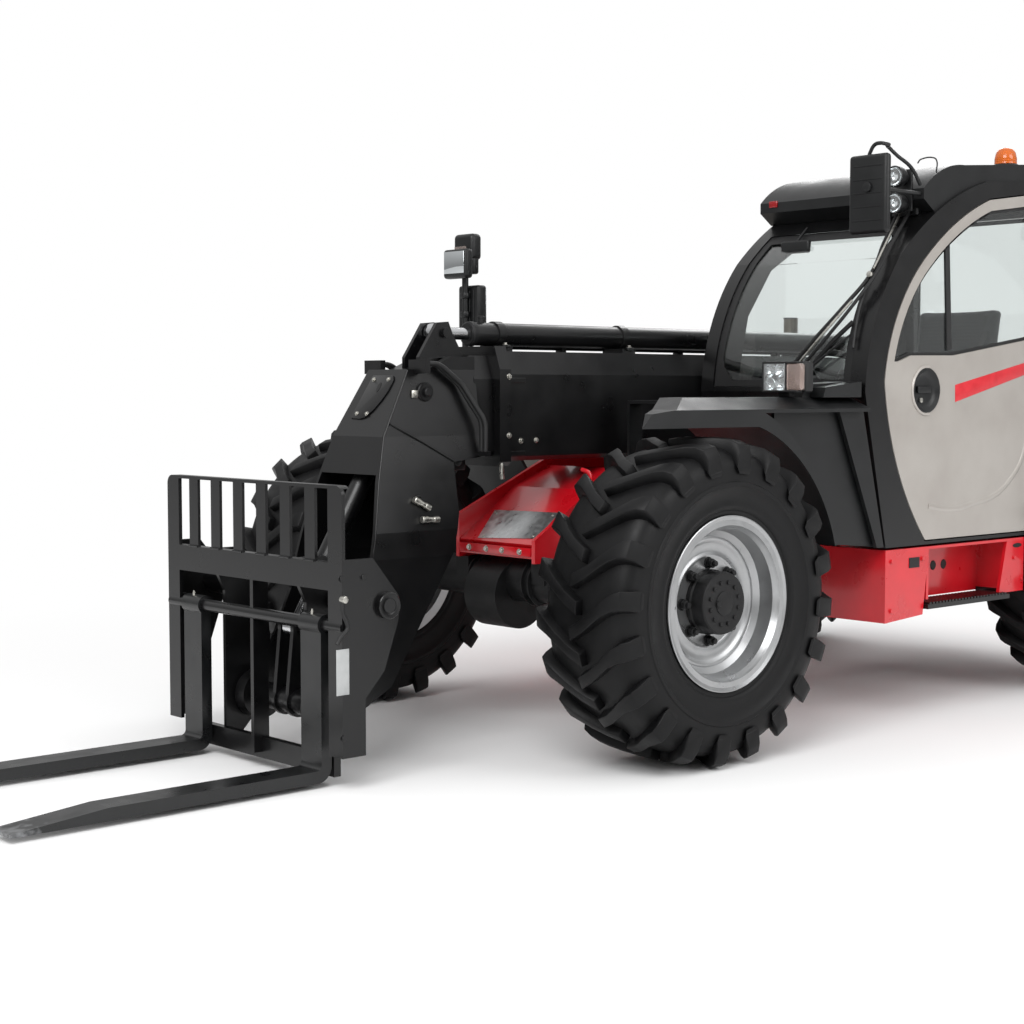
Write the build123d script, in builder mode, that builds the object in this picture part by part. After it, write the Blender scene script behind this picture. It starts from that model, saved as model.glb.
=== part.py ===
"""A telehandler with a cab on the left, an engine pod on the right and a telescopic boom with forks.

Units are millimetres.  +X points forward, +Y to the machine's left, +Z up.  The origin is on the ground
in the middle of the machine's length and width.  Stations along the machine are given ahead of the front
axle.
"""

import math
import os

from build123d import *

os.makedirs("parts", exist_ok=True)

# --------------------------------------------- driving dimensions
wheelbase = 2900
rear_axle = -wheelbase
track_half = 1000  # from the middle plane to a wheel's middle plane
rear_overhang = 820

tyre_radius = 625
tyre_half_width = 230
lug_height = 38
lug_count = 20  # on each half of the tread
rim_seat_radius = 300
rim_flange_radius = 330
rim_half_width = 200
rim_disc_station = 90  # from the wheel's middle plane out to the disc
hub_radius = 115
hub_reach = 176

kingpin_offset = 100  # from the wheel's middle plane in to the kingpin
kingpin_radius = 25
spindle_radius = 45
axle_tube_radius = 85
steering_gap = 6

rail_half_gap = 230  # from the middle plane to a frame rail's inner face
rail_thickness = 20
rail_top = 1120
rail_axle_clear = 713  # underside of the rails over the axles
belly_height = 500  # underside of the rails between the axles

boom_half_width = 150
boom_bottom = 1135
boom_top = 1585
boom_wall = 10
boom_front = 235
boom_pivot_x = rear_axle - 430
boom_pivot_z = 1480
boom_pin_radius = 40
inner_half_width = 125
inner_clearance = 10  # all round the inner boom inside the outer boom
slide_gap = 0.3  # between a wear pad and the inner boom
telescope_travel = 2300

lift_foot_x = rear_axle + 20
lift_foot_z = 800
lift_foot_radius = 35
lift_eye_x = -1630
lift_eye_z = 1065
lift_stroke = 844
lift_barrel_radius = 62
lift_rod_radius = 34

tilt_pivot_x = 1150
tilt_pivot_z = 240
tilt_pin_radius = 30
tilt_foot_x = 602
tilt_foot_z = 1418
crank_radius = 280
crank_angle = 93  # degrees above the forward direction, seen from the left
tilt_stroke = 480
tilt_barrel_radius = 40
tilt_rod_radius = 24

carriage_half_width = 580
carriage_face = 1297  # plane against which the fork shanks rest
grille_top = 1091
fork_length = 1200
fork_width = 125
fork_thickness = 45
fork_spacing_half = 396
fork_underside = 20
fork_shaft_radius = 23
fork_shaft_z = 590

cab_inner_y = 170
cab_outer_y = 1080
cab_wall = 40
cab_floor = 760
cab_rear = rear_axle + 400
door_gap = 6
glass_thickness = 6
seat_gap = 0.3  # between a fitted piece and its seat

fender_radius = 757
fender_thickness = 14
fender_inner_y = 620
fender_outer_y = 1120

pin_gap = 0.05  # running clearance round a pin

# --------------------------------------------- worked-out places
fork_reach = carriage_face + fork_thickness + fork_length
front_axle_x = (wheelbase + rear_overhang - fork_reach) / 2
axle_z = tyre_radius
kingpin_y = track_half - kingpin_offset
rail_outer = rail_half_gap + rail_thickness
rear_end = rear_axle - rear_overhang
bumper_front = rear_end + 120  # the rails end here and carry the counterweight
crank_x = tilt_pivot_x + crank_radius * math.cos(math.radians(crank_angle))
crank_z = tilt_pivot_z + crank_radius * math.sin(math.radians(crank_angle))
lift_closed = math.hypot(lift_eye_x - lift_foot_x, lift_eye_z - lift_foot_z)
lift_angle = math.degrees(math.atan2(lift_eye_z - lift_foot_z, lift_eye_x - lift_foot_x))
tilt_closed = math.hypot(crank_x - tilt_foot_x, crank_z - tilt_foot_z)
tilt_angle = math.degrees(math.atan2(crank_z - tilt_foot_z, crank_x - tilt_foot_x))


def ahead(x):
    """The X of a station given ahead of the front axle."""
    return front_axle_x + x


def side_face(rows, y):
    """A face in the side view at y.  A row is (x, z) for a line or (mid x, mid z, x, z) for an arc."""
    with BuildSketch(Plane.XZ.offset(-y)) as view:
        with BuildLine():
            start = rows[0]
            for row in rows[1:]:
                end = row[-2:]
                if len(row) == 2:
                    Line((ahead(start[0]), start[1]), (ahead(end[0]), end[1]))
                else:
                    ThreePointArc(
                        (ahead(start[0]), start[1]), (ahead(row[0]), row[1]), (ahead(end[0]), end[1])
                    )
                start = end
            if start != rows[0]:
                Line((ahead(start[0]), start[1]), (ahead(rows[0][0]), rows[0][1]))
        make_face()
    return view.sketch


def side_slab(rows, y_low, y_high, mode=Mode.ADD):
    """A slab across the machine from y_low to y_high with the side outline in rows."""
    extrude(side_face(rows, y_high), amount=y_high - y_low, mode=mode)


def block(x_low, x_high, y_low, y_high, z_low, z_high, mode=Mode.ADD):
    """An upright block between stations, sides and heights."""
    with Locations((ahead((x_low + x_high) / 2), (y_low + y_high) / 2, (z_low + z_high) / 2)):
        Box(abs(x_high - x_low), abs(y_high - y_low), abs(z_high - z_low), mode=mode)


def cross_bar(x, z, radius, y_low, y_high, mode=Mode.ADD):
    """A round bar, boss or bore along Y."""
    with Locations(Location((ahead(x), (y_low + y_high) / 2, z), (90, 0, 0))):
        Cylinder(radius, y_high - y_low, mode=mode)


def post(x, y, radius, z_low, z_high, mode=Mode.ADD):
    """A round upright bar, boss or bore."""
    with Locations((ahead(x), y, (z_low + z_high) / 2)):
        Cylinder(radius, z_high - z_low, mode=mode)


def rod_between(foot, angle, start, end, radius, y=0, mode=Mode.ADD):
    """A round bar in the side view, from start to end along a line that leaves foot (x, z) at angle."""
    plane = Plane(
        origin=(ahead(foot[0]), y, foot[1]),
        z_dir=(math.cos(math.radians(angle)), 0, math.sin(math.radians(angle))),
        x_dir=(0, 1, 0),
    )
    with BuildSketch(plane.offset(start)) as section:
        Circle(radius)
    extrude(section.sketch, amount=end - start, mode=mode)


def save(builder, label):
    """Labels a finished piece and writes it."""
    builder.part.label = label
    export_step(builder.part, f"parts/{label}.step")


# --------------------------------------------- tyre, made once at the origin, axle along Y
tread_radius = tyre_radius - lug_height
carcass = [  # radius, distance from the wheel's middle plane
    (rim_seat_radius + seat_gap, 0),
    (rim_seat_radius + seat_gap, rim_half_width - 13),
    (rim_flange_radius + 2, rim_half_width - 7),
    (350, rim_half_width),
    (430, tyre_half_width - 12),
    (505, tyre_half_width - 14),
    (560, tyre_half_width - 24),
    (tread_radius, tyre_half_width - 62),
    (tread_radius + 4, 0),
]
crown = [  # radius, distance from the wheel's middle plane: the surface that the lug tips lie in
    (480, 0),
    (480, tyre_half_width - 14),
    (520, tyre_half_width),
    (570, tyre_half_width),
    (tyre_radius - 10, tyre_half_width - 36),
    (tyre_radius - 1, 90),
    (tyre_radius, 0),
]
lug_plan = [  # distance along the tread, distance across it: one bar, centre end first
    (98, -8),
    (22, 104),
    (-28, tyre_half_width + 6),
    (-92, tyre_half_width + 6),
    (-36, 122),
    (44, -8),
]

with BuildPart() as tyre_crown:
    for side in (1, -1):
        with BuildSketch(Plane.XY):
            with BuildLine():
                Polyline(*[(radius, side * across) for radius, across in crown], close=True)
            make_face()
        revolve(axis=Axis.Y)

with BuildPart() as tyre_lug:
    with BuildSketch(Plane.XY.offset(500)):
        with BuildLine():
            Polyline(*lug_plan, close=True)
        make_face()
    extrude(amount=tyre_radius - 480)
    add(tyre_crown.part, mode=Mode.INTERSECT)

half_pitch = 180 / lug_count
right_lug = tyre_lug.part.mirror(Plane.XZ).rotate(Axis.Y, half_pitch)
with BuildPart() as tyre_form:
    with BuildSketch(Plane.XY):
        with BuildLine():
            Polyline(
                *carcass, *[(radius, -across) for radius, across in reversed(carcass[1:-1])], close=True,
            )
        make_face()
    revolve(axis=Axis.Y)
    for lug in (tyre_lug.part, right_lug):
        add([lug.rotate(Axis.Y, 2 * half_pitch * number) for number in range(lug_count)])

# --------------------------------------------- rim with its hub, outer face towards +Y
rim_section = [  # radius, distance out from the wheel's middle plane
    (rim_seat_radius, -rim_half_width + 12),
    (rim_flange_radius, -rim_half_width + 6),
    (rim_flange_radius, -rim_half_width),
    (rim_seat_radius - 12, -rim_half_width),
    (rim_seat_radius - 22, -90),
    (258, -60),
    (258, 20),
    (236, 40),
    (232, rim_disc_station - 14),
    (hub_radius - 20, rim_disc_station - 14),
    (hub_radius - 20, rim_disc_station),
    (240, rim_disc_station),
    (250, rim_disc_station + 14),
    (272, rim_disc_station + 30),
    (282, rim_half_width - 24),
    (rim_seat_radius - 8, rim_half_width - 8),
    (rim_seat_radius - 4, rim_half_width),
    (rim_flange_radius, rim_half_width),
    (rim_flange_radius, rim_half_width - 6),
    (rim_seat_radius, rim_half_width - 12),
]
hub_section = [  # radius, distance out: the planetary hub with the spindle's blind bore
    (spindle_radius + pin_gap, 50),
    (170, 50),
    (170, rim_disc_station - 14),
    (hub_radius, rim_disc_station - 14),
    (hub_radius, hub_reach - 14),
    (hub_radius - 14, hub_reach),
    (0, hub_reach),
    (0, rim_disc_station + 44),
    (spindle_radius + pin_gap, rim_disc_station + 44),
]
with BuildPart() as rim_form:
    for section in (rim_section, hub_section):
        with BuildSketch(Plane.XY):
            with BuildLine():
                Polyline(*section, close=True)
            make_face()
        revolve(axis=Axis.Y)

# --------------------------------------------- knuckle, for a wheel on the +Y side
arm_bottom = 106  # from the wheel's height to the near face of a kingpin arm
arm_thickness = 38
with BuildPart() as knuckle_form:
    with BuildSketch(Plane.XY):
        with BuildLine():
            Polyline(
                (0, -42), (140, -42), (150, -30), (150, 20), (120, 50 - steering_gap),
                (spindle_radius, 50 - steering_gap), (spindle_radius, rim_disc_station + 40),
                (0, rim_disc_station + 40), close=True,
            )
        make_face()
    revolve(axis=Axis.Y)
    for sign in (1, -1):
        height = sign * (arm_bottom + arm_thickness / 2)
        with Locations((0, -kingpin_offset, height)):
            Cylinder(52, arm_thickness)
        with Locations((0, -kingpin_offset / 2 - 15, height)):
            Box(104, kingpin_offset - 30, arm_thickness)
        with Locations((0, -kingpin_offset, height)):
            Cylinder(kingpin_radius + pin_gap, arm_thickness, mode=Mode.SUBTRACT)

# wheel stations: name, x ahead of the front axle, side
wheel_stations = [
    ("front_left", 0, 1),
    ("front_right", 0, -1),
    ("rear_left", rear_axle, 1),
    ("rear_right", rear_axle, -1),
]
for name, station, side in wheel_stations:
    centre = Location((ahead(station), side * track_half, axle_z))
    for kind, form in (("tyre", tyre_form.part), ("rim", rim_form.part), ("knuckle", knuckle_form.part)):
        facing = form if side > 0 or kind == "tyre" else form.mirror(Plane.XZ)
        with BuildPart() as wheel_piece:
            add(facing.moved(centre))
        save(wheel_piece, f"{kind}_{name}")

# --------------------------------------------- axles
pinion_y, pinion_z = -60, axle_z + 20
pinion_reach = 300  # from the axle to the pinion's flange
axle_profile = [  # radius, distance from the middle plane
    (0, -kingpin_y + 30),
    (58, -kingpin_y + 30),
    (66, -720),
    (axle_tube_radius, -600),
    (axle_tube_radius, -rail_half_gap + 6),
    (92, -190),
    (92, 110),
    (axle_tube_radius, rail_half_gap - 40),
    (axle_tube_radius, 600),
    (66, 720),
    (58, kingpin_y - 30),
    (0, kingpin_y - 30),
]
for name, station in (("axle_front", 0), ("axle_rear", rear_axle)):
    with BuildPart() as axle:
        with BuildSketch(Plane.XY.offset(axle_z)):
            with BuildLine():
                Polyline(
                    *[(ahead(station) + radius, across) for radius, across in axle_profile], close=True,
                )
            make_face()
        revolve(axis=Axis((ahead(station), 0, axle_z), (0, 1, 0)))
        cross_bar(station, axle_z - 60, 148, -160, 40)
        for side in (1, -1):
            post(
                station, side * kingpin_y, 50, axle_z - arm_bottom + steering_gap,
                axle_z + arm_bottom - steering_gap,
            )
            post(station, side * kingpin_y, kingpin_radius, axle_z - 144, axle_z + 144)
            side_y = sorted((side * (rail_half_gap - 30), side * (rail_outer + 30)))
            block(station - 90, station + 90, side_y[0], side_y[1], axle_z, rail_axle_clear)
        rod_between((station, pinion_z), 180 if station == 0 else 0, 100, pinion_reach, 60, y=pinion_y)
    save(axle, name)

# --------------------------------------------- gearbox and the two shafts to the axles
gearbox_station = -1500
gearbox_half_length = 210
gearbox_low, gearbox_high = 470, 680
driveline_radius, flange_radius = 34, 60
with BuildPart() as driveline:
    block(
        gearbox_station - gearbox_half_length, gearbox_station + gearbox_half_length,
        pinion_y - 110, pinion_y + 110, gearbox_low, gearbox_high,
    )
    for rear, front in (
        (gearbox_station + gearbox_half_length, -pinion_reach),
        (rear_axle + pinion_reach, gearbox_station - gearbox_half_length),
    ):
        rod_between((rear, pinion_z), 0, 0, front - rear, driveline_radius, y=pinion_y)
        for flange in (rear, front - 30):
            rod_between((flange, pinion_z), 0, 0, 30, flange_radius, y=pinion_y)
save(driveline, "driveline")

# --------------------------------------------- frame: two rails and what joins them
rail_front = 115
rail_nose_top = 898
rail_outline = [
    (rail_front, rail_axle_clear),
    (rail_front, rail_nose_top),
    (-390, rail_top),
    (rear_axle + 300, rail_top),
    (boom_pivot_x + 210, boom_pivot_z + 120),
    (boom_pivot_x - 170, boom_pivot_z + 120),
    (bumper_front, 1300),
    (bumper_front, 700),
    (bumper_front + 300, rail_axle_clear),
    (rear_axle + 380, rail_axle_clear),
    (rear_axle + 640, belly_height),
    (-760, belly_height),
    (-520, rail_axle_clear),
]
nose_cut = [(130, 800), (130, 950), (-440, 1200), (-440, 1098), (-200, 1005)]
pivot_boss_radius = 85
pivot_boss_length = 15
outrigger_stations = (-1190, rear_axle + 760)
outrigger_half, outrigger_end = 40, 820
outrigger_bottom, outrigger_top = 560, 700
for name, side in (("rail_left", 1), ("rail_right", -1)):
    low, high = sorted((side * rail_half_gap, side * rail_outer))
    boss_low, boss_high = sorted((side * rail_outer, side * (rail_outer + pivot_boss_length)))
    with BuildPart() as rail:
        side_slab(rail_outline, low, high)
        if side > 0:
            side_slab(nose_cut, low - 5, high + 5, Mode.SUBTRACT)
        cross_bar(boom_pivot_x, boom_pivot_z, pivot_boss_radius, boss_low, boss_high)
    save(rail, name)

with BuildPart() as crossmembers:
    # sloped nose floor and the bar under its front edge
    side_slab(
        [(110, 790), (-200, 1005), (-420, 1090), (-420, 1075), (-200, 990), (95, 775)],
        -rail_half_gap,
        rail_half_gap,
    )
    block(90, 112, -rail_half_gap, rail_half_gap, 732, 775)
    for station, low, high in ((-620, 690, 760), (-1500, 700, 760), (rear_axle + 480, 690, 760)):
        block(station - 50, station + 50, -rail_half_gap, rail_half_gap, low, high)
    block(bumper_front, bumper_front + 20, -rail_half_gap, rail_half_gap, 720, 1250)
    # pins of the boom's heel and of the lift cylinder's foot
    cross_bar(lift_foot_x, lift_foot_z, lift_foot_radius, -rail_half_gap, rail_half_gap)
    cross_bar(boom_pivot_x, boom_pivot_z, boom_pin_radius, -rail_half_gap, rail_half_gap)
    # outriggers under the cab and the pod, with the cab's four mounts
    for station in outrigger_stations:
        for side in (1, -1):
            low, high = sorted((side * rail_outer, side * outrigger_end))
            block(
                station - outrigger_half, station + outrigger_half, low, high, outrigger_bottom,
                outrigger_top,
            )
        for y in (330, 760):
            post(station, y, 30, outrigger_top, cab_floor)
save(crossmembers, "crossmembers")

# --------------------------------------------- left skirt with the step bay
skirt_outer = 1080
skirt_rear = rear_axle + 720
with BuildPart() as skirt:
    side_slab([(-1130, 440), (-1130, 750), (-1440, 750), (-1400, 457)], skirt_outer - 16, skirt_outer)
    side_slab(
        [(-1424, 750), (-2061, 750), (-2061, 505), (-1424, 505)], skirt_outer - 176, skirt_outer - 160,
    )
    side_slab(
        [(-2045, 750), (skirt_rear, 750), (skirt_rear, 505), (-1984, 505)], skirt_outer - 16, skirt_outer
    )
    block(-1130, -1150, 700, skirt_outer, 440, 750)
    for front, rear in ((-1424, -1440), (-2045, -2061)):
        block(front, rear, skirt_outer - 176, skirt_outer, 520, 750)
    block(-1130, skirt_rear, 822, skirt_outer, 738, 750)
    block(-1150, -1230, 822, skirt_outer - 16, 560, 738)
    block(skirt_rear + 82, skirt_rear, 822, skirt_outer - 16, 560, 738)
save(skirt, "skirt_left")

with BuildPart() as step:
    block(-1412, -2040, 950, 1100, 480, 500)
    for station in (-1425, -2050):
        block(station - 12, station + 12, skirt_outer - 160, 1064, 500, 520)
save(step, "step")

# --------------------------------------------- right pod: tray, engine block and hinged hood
pod_inner, pod_outer = -270, -1080
pod_front, pod_rear = -860, rear_axle + 720
hood_knuckles = (-1100, pod_rear + 250)
pod_floor, pod_split, pod_top = 460, 960, 1400
pod_wall = 12
hood_hinge_y = pod_inner - 6
hood_hinge_z = pod_top - 12
hood_hinge_radius = 12
tray_outline = [
    (pod_front, 640),
    (pod_front, pod_split),
    (pod_rear, pod_split),
    (pod_rear, 600),
    (pod_rear + 140, pod_floor),
    (pod_front - 180, pod_floor),
]
tray_cavity = [
    (pod_front - pod_wall, 645),
    (pod_front - pod_wall, pod_split + 1),
    (pod_rear + pod_wall, pod_split + 1),
    (pod_rear + pod_wall, 605),
    (pod_rear + 145, pod_floor + pod_wall),
    (pod_front - 185, pod_floor + pod_wall),
]
with BuildPart() as tray:
    side_slab(tray_outline, pod_outer, pod_inner)
    side_slab(tray_cavity, pod_outer + pod_wall, pod_inner - pod_wall, Mode.SUBTRACT)
    block(pod_front - 20, pod_rear + 20, pod_inner - pod_wall, pod_inner, pod_split - 1, hood_hinge_z - 20)
    for station in outrigger_stations:
        block(
            station - outrigger_half, station + outrigger_half, -outrigger_end, pod_inner + 1,
            outrigger_bottom, outrigger_top, Mode.SUBTRACT,
        )
    with Locations(*[Location((ahead(x), hood_hinge_y, hood_hinge_z), (0, 90, 0)) for x in hood_knuckles]):
        Cylinder(hood_hinge_radius, 80)
    for x in hood_knuckles:
        block(x - 40, x + 40, hood_hinge_y - 6, hood_hinge_y + 6, hood_hinge_z - 22, hood_hinge_z)
    with Locations(
        *[
            Location((ahead(x), hood_hinge_y, hood_hinge_z), (0, 90, 0))
            for x in (hood_knuckles[0] - 25, hood_knuckles[1] + 25)
        ]
    ):
        Cylinder(5 + pin_gap, 140, mode=Mode.SUBTRACT)
save(tray, "engine_tray")

with BuildPart() as engine:
    block(-1080, -1800, -920, -330, 620, 1240)
    block(
        -1190 - outrigger_half - 1, -1190 + outrigger_half + 1, -outrigger_end - 1, -329,
        outrigger_bottom - 1, outrigger_top + 1, Mode.SUBTRACT,
    )
    block(-1500, -1600, -800, -600, pod_floor + pod_wall, 620)
save(engine, "engine_block")

hood_outline = [
    (pod_front, pod_split + 5),
    (pod_front + 40, 1300),
    (pod_front - 40, pod_top - 20),
    (pod_front - 160, pod_top),
    (pod_rear, pod_top),
    (pod_rear, pod_split + 5),
]
hood_cavity = [
    (pod_front - pod_wall, pod_split),
    (pod_front + 26, 1295),
    (pod_front - 48, pod_top - 34),
    (pod_front - 165, pod_top - pod_wall),
    (pod_rear + pod_wall, pod_top - pod_wall),
    (pod_rear + pod_wall, pod_split),
]
louvre_count = 7
with BuildPart() as hood:
    side_slab(hood_outline, pod_outer, hood_hinge_y + 6)
    side_slab(hood_cavity, pod_outer + pod_wall, hood_hinge_y + 7, Mode.SUBTRACT)
    block(
        pod_front + 60, pod_rear - 10, pod_inner - pod_wall - 6, 0, pod_split, pod_top - pod_wall,
        Mode.SUBTRACT,
    )
    for number in range(louvre_count):
        slot = pod_front - 260 - 120 * number
        block(slot, slot - 70, pod_outer - 1, pod_outer + pod_wall + 1, 1060, 1260, Mode.SUBTRACT)
    for x in hood_knuckles:
        block(x - 46, x + 46, hood_hinge_y - 19, 0, pod_split, pod_top + 1, Mode.SUBTRACT)
    with Locations(
        *[
            Location((ahead(x), hood_hinge_y, hood_hinge_z), (0, 90, 0))
            for x in (hood_knuckles[0] - 60, hood_knuckles[1] + 60)
        ]
    ):
        Cylinder(hood_hinge_radius, 26)
    with Locations(
        *[
            Location((ahead(x), hood_hinge_y, hood_hinge_z), (0, 90, 0))
            for x in (hood_knuckles[0] - 25, hood_knuckles[1] + 25)
        ]
    ):
        Cylinder(5, 90)
save(hood, "hood")

# --------------------------------------------- cab
arch_radius = 700  # round the rear wheel, under the cab's heel


def arch_z(x):
    """Height of the rear wheel arch at a station."""
    return axle_z + math.sqrt(arch_radius**2 - (x + wheelbase) ** 2)


cab_heel = rear_axle + 660
cab_outline = [
    (-1130, cab_floor),
    (-975, 1420),
    (-1040, 1720, -1210, 1995),
    (-1490, 2205, -1840, 2345),
    (cab_rear + 30, 2390),
    (cab_rear, arch_z(cab_rear)),
    (cab_rear + 150, arch_z(cab_rear + 150), cab_heel, arch_z(cab_heel)),
    (cab_heel, cab_floor),
]
rail_step = 1150  # above this height the cab reaches in over the rail
rail_side = rail_outer + 15
door_rear = rear_axle + 570
door_outline = [
    (-1411, 780),
    (-1195, 1125, -1109, 1462),
    (-1195, 1745, -1400, 2000),
    (-1610, 2150, -1860, 2265),
    (door_rear + 130, 2312),
    (door_rear, 2312),
    (door_rear, arch_z(door_rear) + 10),
    (door_rear + 40, arch_z(door_rear + 40) + 6, cab_heel + 12, arch_z(cab_heel + 12)),
    (cab_heel + 12, 780),
]
cab_face = side_face(cab_outline, 0)
cab_inner_face = offset(cab_face, -cab_wall)


def from_side(face, y_low, y_high, mode=Mode.ADD):
    """Extrudes a face drawn in the middle plane from y_low to y_high."""
    extrude(face.moved(Location((0, y_high, 0))), amount=y_high - y_low, mode=mode)


windscreen_side = (cab_inner_y + 70, cab_outer_y - 80)
windscreen_height = (1440, 2130)
side_window = [
    (-1180, 1460),
    (-1250, 1760),
    (-1420, 1990),
    (-1700, 2150),
    (cab_rear + 120, 2260),
    (cab_rear + 120, 1460),
]
rear_window_side = (cab_inner_y + 90, cab_outer_y - 90)
rear_window_height = (1500, 2240)
door_hole = offset(side_face(door_outline, 0), door_gap)
with BuildPart() as upper_room:
    from_side(cab_inner_face, cab_inner_y + cab_wall, rail_side + cab_wall + 1)
    block(0, -3000, 0, 400, 0, rail_step + cab_wall, Mode.SUBTRACT)
with BuildPart() as cab:
    from_side(cab_face, cab_inner_y, cab_outer_y)
    from_side(cab_inner_face, rail_side + cab_wall, cab_outer_y - cab_wall, Mode.SUBTRACT)
    add(upper_room.part, mode=Mode.SUBTRACT)
    block(0, -3000, 0, rail_side, 0, rail_step, Mode.SUBTRACT)
    from_side(door_hole, cab_outer_y - cab_wall - 5, cab_outer_y + 5, Mode.SUBTRACT)
    block(-1700, 0, *windscreen_side, *windscreen_height, Mode.SUBTRACT)
    side_slab(side_window, cab_inner_y - 5, cab_inner_y + cab_wall + 5, Mode.SUBTRACT)
    block(cab_rear - 60, cab_rear + 80, *rear_window_side, *rear_window_height, Mode.SUBTRACT)
    for height in (1300, 2150):
        block(door_rear - 14, door_rear - 70, cab_outer_y - 5, cab_outer_y + 80, height - 30, height + 30)
        block(door_rear + 40, door_rear - 14, cab_outer_y + 60, cab_outer_y + 80, height - 30, height + 30)
        post(door_rear + 15, cab_outer_y + 70, 16, height - 30, height + 30)
        post(door_rear + 15, cab_outer_y + 70, 8, height + 30, height + 66)
save(cab, "cab")

with BuildPart() as windscreen:
    from_side(offset(cab_face, -12), windscreen_side[0] + seat_gap, windscreen_side[1] - seat_gap)
    from_side(offset(cab_face, -12 - glass_thickness), 0, 2000, Mode.SUBTRACT)
    block(
        -1700, 0, 0, 2000, windscreen_height[0] + seat_gap, windscreen_height[1] - seat_gap, Mode.INTERSECT,
    )
save(windscreen, "windscreen")

with BuildPart() as cab_glass:
    from_side(
        offset(side_face(side_window, 0), -seat_gap), cab_inner_y + 12, cab_inner_y + 12 + glass_thickness,
    )
    block(
        cab_rear + 12, cab_rear + 12 + glass_thickness,
        rear_window_side[0] + seat_gap, rear_window_side[1] - seat_gap,
        rear_window_height[0] + seat_gap, rear_window_height[1] - seat_gap,
    )
save(cab_glass, "cab_glass")

visor_tip = -1385
roof_outline = [
    (visor_tip, 2240),
    (visor_tip, 2285),
    (-1500, 2365, -1680, 2405),
    (cab_rear + 300, 2450),
    (cab_rear - 20, 2430),
    (cab_rear - 50, 2370),
    (cab_rear + 20, 2330),
    (-1600, 2100),
]
beacon_seat_z = 2454
beacon_radius = 50
beacon_x, beacon_y = cab_rear + 170, 850
with BuildPart() as roof:
    side_slab(roof_outline, cab_inner_y - 10, cab_outer_y - 15)
    post(beacon_x, beacon_y, 72, beacon_seat_z - 54, beacon_seat_z)
    from_side(offset(cab_face, seat_gap), 0, 2000, Mode.SUBTRACT)
save(roof, "cab_roof")

# door, swung on a vertical pin behind and outside it
door_thickness = 38
door_face = side_face(door_outline, 0)
belt_line = [
    (0, 600),
    (0, 1545),
    (-1200, 1545),
    (-1290, 1572),
    (-1600, 1576),
    (-2150, 1650),
    (cab_rear - 200, 1750),
    (cab_rear - 200, 600),
]
door_pane = offset(door_face, -48) - side_face(belt_line, 0)
with BuildPart() as door:
    from_side(door_face, cab_outer_y - door_thickness, cab_outer_y)
    from_side(door_pane, cab_outer_y - door_thickness - 1, cab_outer_y + 1, Mode.SUBTRACT)
    cross_bar(-1402, 1424, 90, cab_outer_y - 22, cab_outer_y + 1, Mode.SUBTRACT)
    for height in (1300, 2150):
        block(door_rear + 75, door_rear + 4, cab_outer_y - 4, cab_outer_y + 12, height + 34, height + 60)
        block(door_rear + 30, door_rear + 4, cab_outer_y + 12, cab_outer_y + 70, height + 34, height + 60)
        post(door_rear + 15, cab_outer_y + 70, 16, height + 34, height + 60)
        post(door_rear + 15, cab_outer_y + 70, 8 + pin_gap, height + 30, height + 70, Mode.SUBTRACT)
save(door, "door")
with BuildPart() as door_glass:
    from_side(offset(door_pane, -seat_gap), cab_outer_y - 22, cab_outer_y - 22 + glass_thickness)
save(door_glass, "door_glass")

# --------------------------------------------- inside the cab
seat_y = 630
seat_rear = rear_axle + 700  # the rear edge of the cushion
seat_length = 440
seat_pan_z = 1180
seat_top = 1280
with BuildPart() as seat_base:
    block(
        seat_rear + 340, seat_rear + 50, seat_y - 190, seat_y + 190, cab_floor + cab_wall, seat_pan_z - 30,
    )
    block(seat_rear + 400, seat_rear, seat_y - 230, seat_y + 230, seat_pan_z - 30, seat_pan_z)
save(seat_base, "seat_base")
with BuildPart() as seat_cushion:
    block(seat_rear, seat_rear + seat_length, seat_y - 240, seat_y + 240, seat_pan_z + seat_gap, seat_top)
save(seat_cushion, "seat_cushion")
with BuildPart() as seat_back:
    side_slab(
        [
            (seat_rear + 40, seat_top + seat_gap),
            (seat_rear - 70, seat_top + seat_gap),
            (seat_rear - 160, seat_top + 540),
            (seat_rear - 70, seat_top + 540),
        ],
        seat_y - 235, seat_y + 235,
    )
save(seat_back, "seat_back")
column_foot = (-1235, 1220)
column_angle = 128
wheel_station = 330  # up the column to the steering wheel's hub
with BuildPart() as console:
    block(-1175, -1300, seat_y - 190, seat_y + 190, cab_floor + cab_wall, 1270)
    rod_between(column_foot, column_angle, 0, wheel_station - 12, 32, y=seat_y)
save(console, "console")
with BuildPart() as side_console:
    block(
        seat_rear + 700, seat_rear, rail_side + cab_wall, rail_side + cab_wall + 64, cab_floor + cab_wall,
        1340,
    )
save(side_console, "side_console")
with BuildPart() as steering_wheel:
    rim_plane = Plane(
        origin=(
            ahead(column_foot[0] + wheel_station * math.cos(math.radians(column_angle))),
            seat_y,
            column_foot[1] + wheel_station * math.sin(math.radians(column_angle)),
        ),
        z_dir=(math.cos(math.radians(column_angle)), 0, math.sin(math.radians(column_angle))),
        x_dir=(0, 1, 0),
    )
    with Locations(rim_plane):
        Torus(178, 15)
        Cylinder(45, 24)
        for turn in (90, 210, 330):
            with Locations(Rotation(0, 0, turn)):
                with Locations((100, 0, 0)):
                    Box(150, 26, 12)
save(steering_wheel, "steering_wheel")

# --------------------------------------------- mudguards
def arc_band(centre_x, radius, start_angle, end_angle, thickness):
    """Side outline rows of a curved sheet round a wheel, from start_angle to end_angle in degrees."""
    def at(angle, r):
        return (centre_x + r * math.cos(math.radians(angle)), axle_z + r * math.sin(math.radians(angle)))
    middle = (start_angle + end_angle) / 2
    return [
        at(start_angle, radius),
        at(middle, radius) + at(end_angle, radius),
        at(end_angle, radius + thickness),
        at(middle, radius + thickness) + at(start_angle, radius + thickness),
    ]


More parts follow.
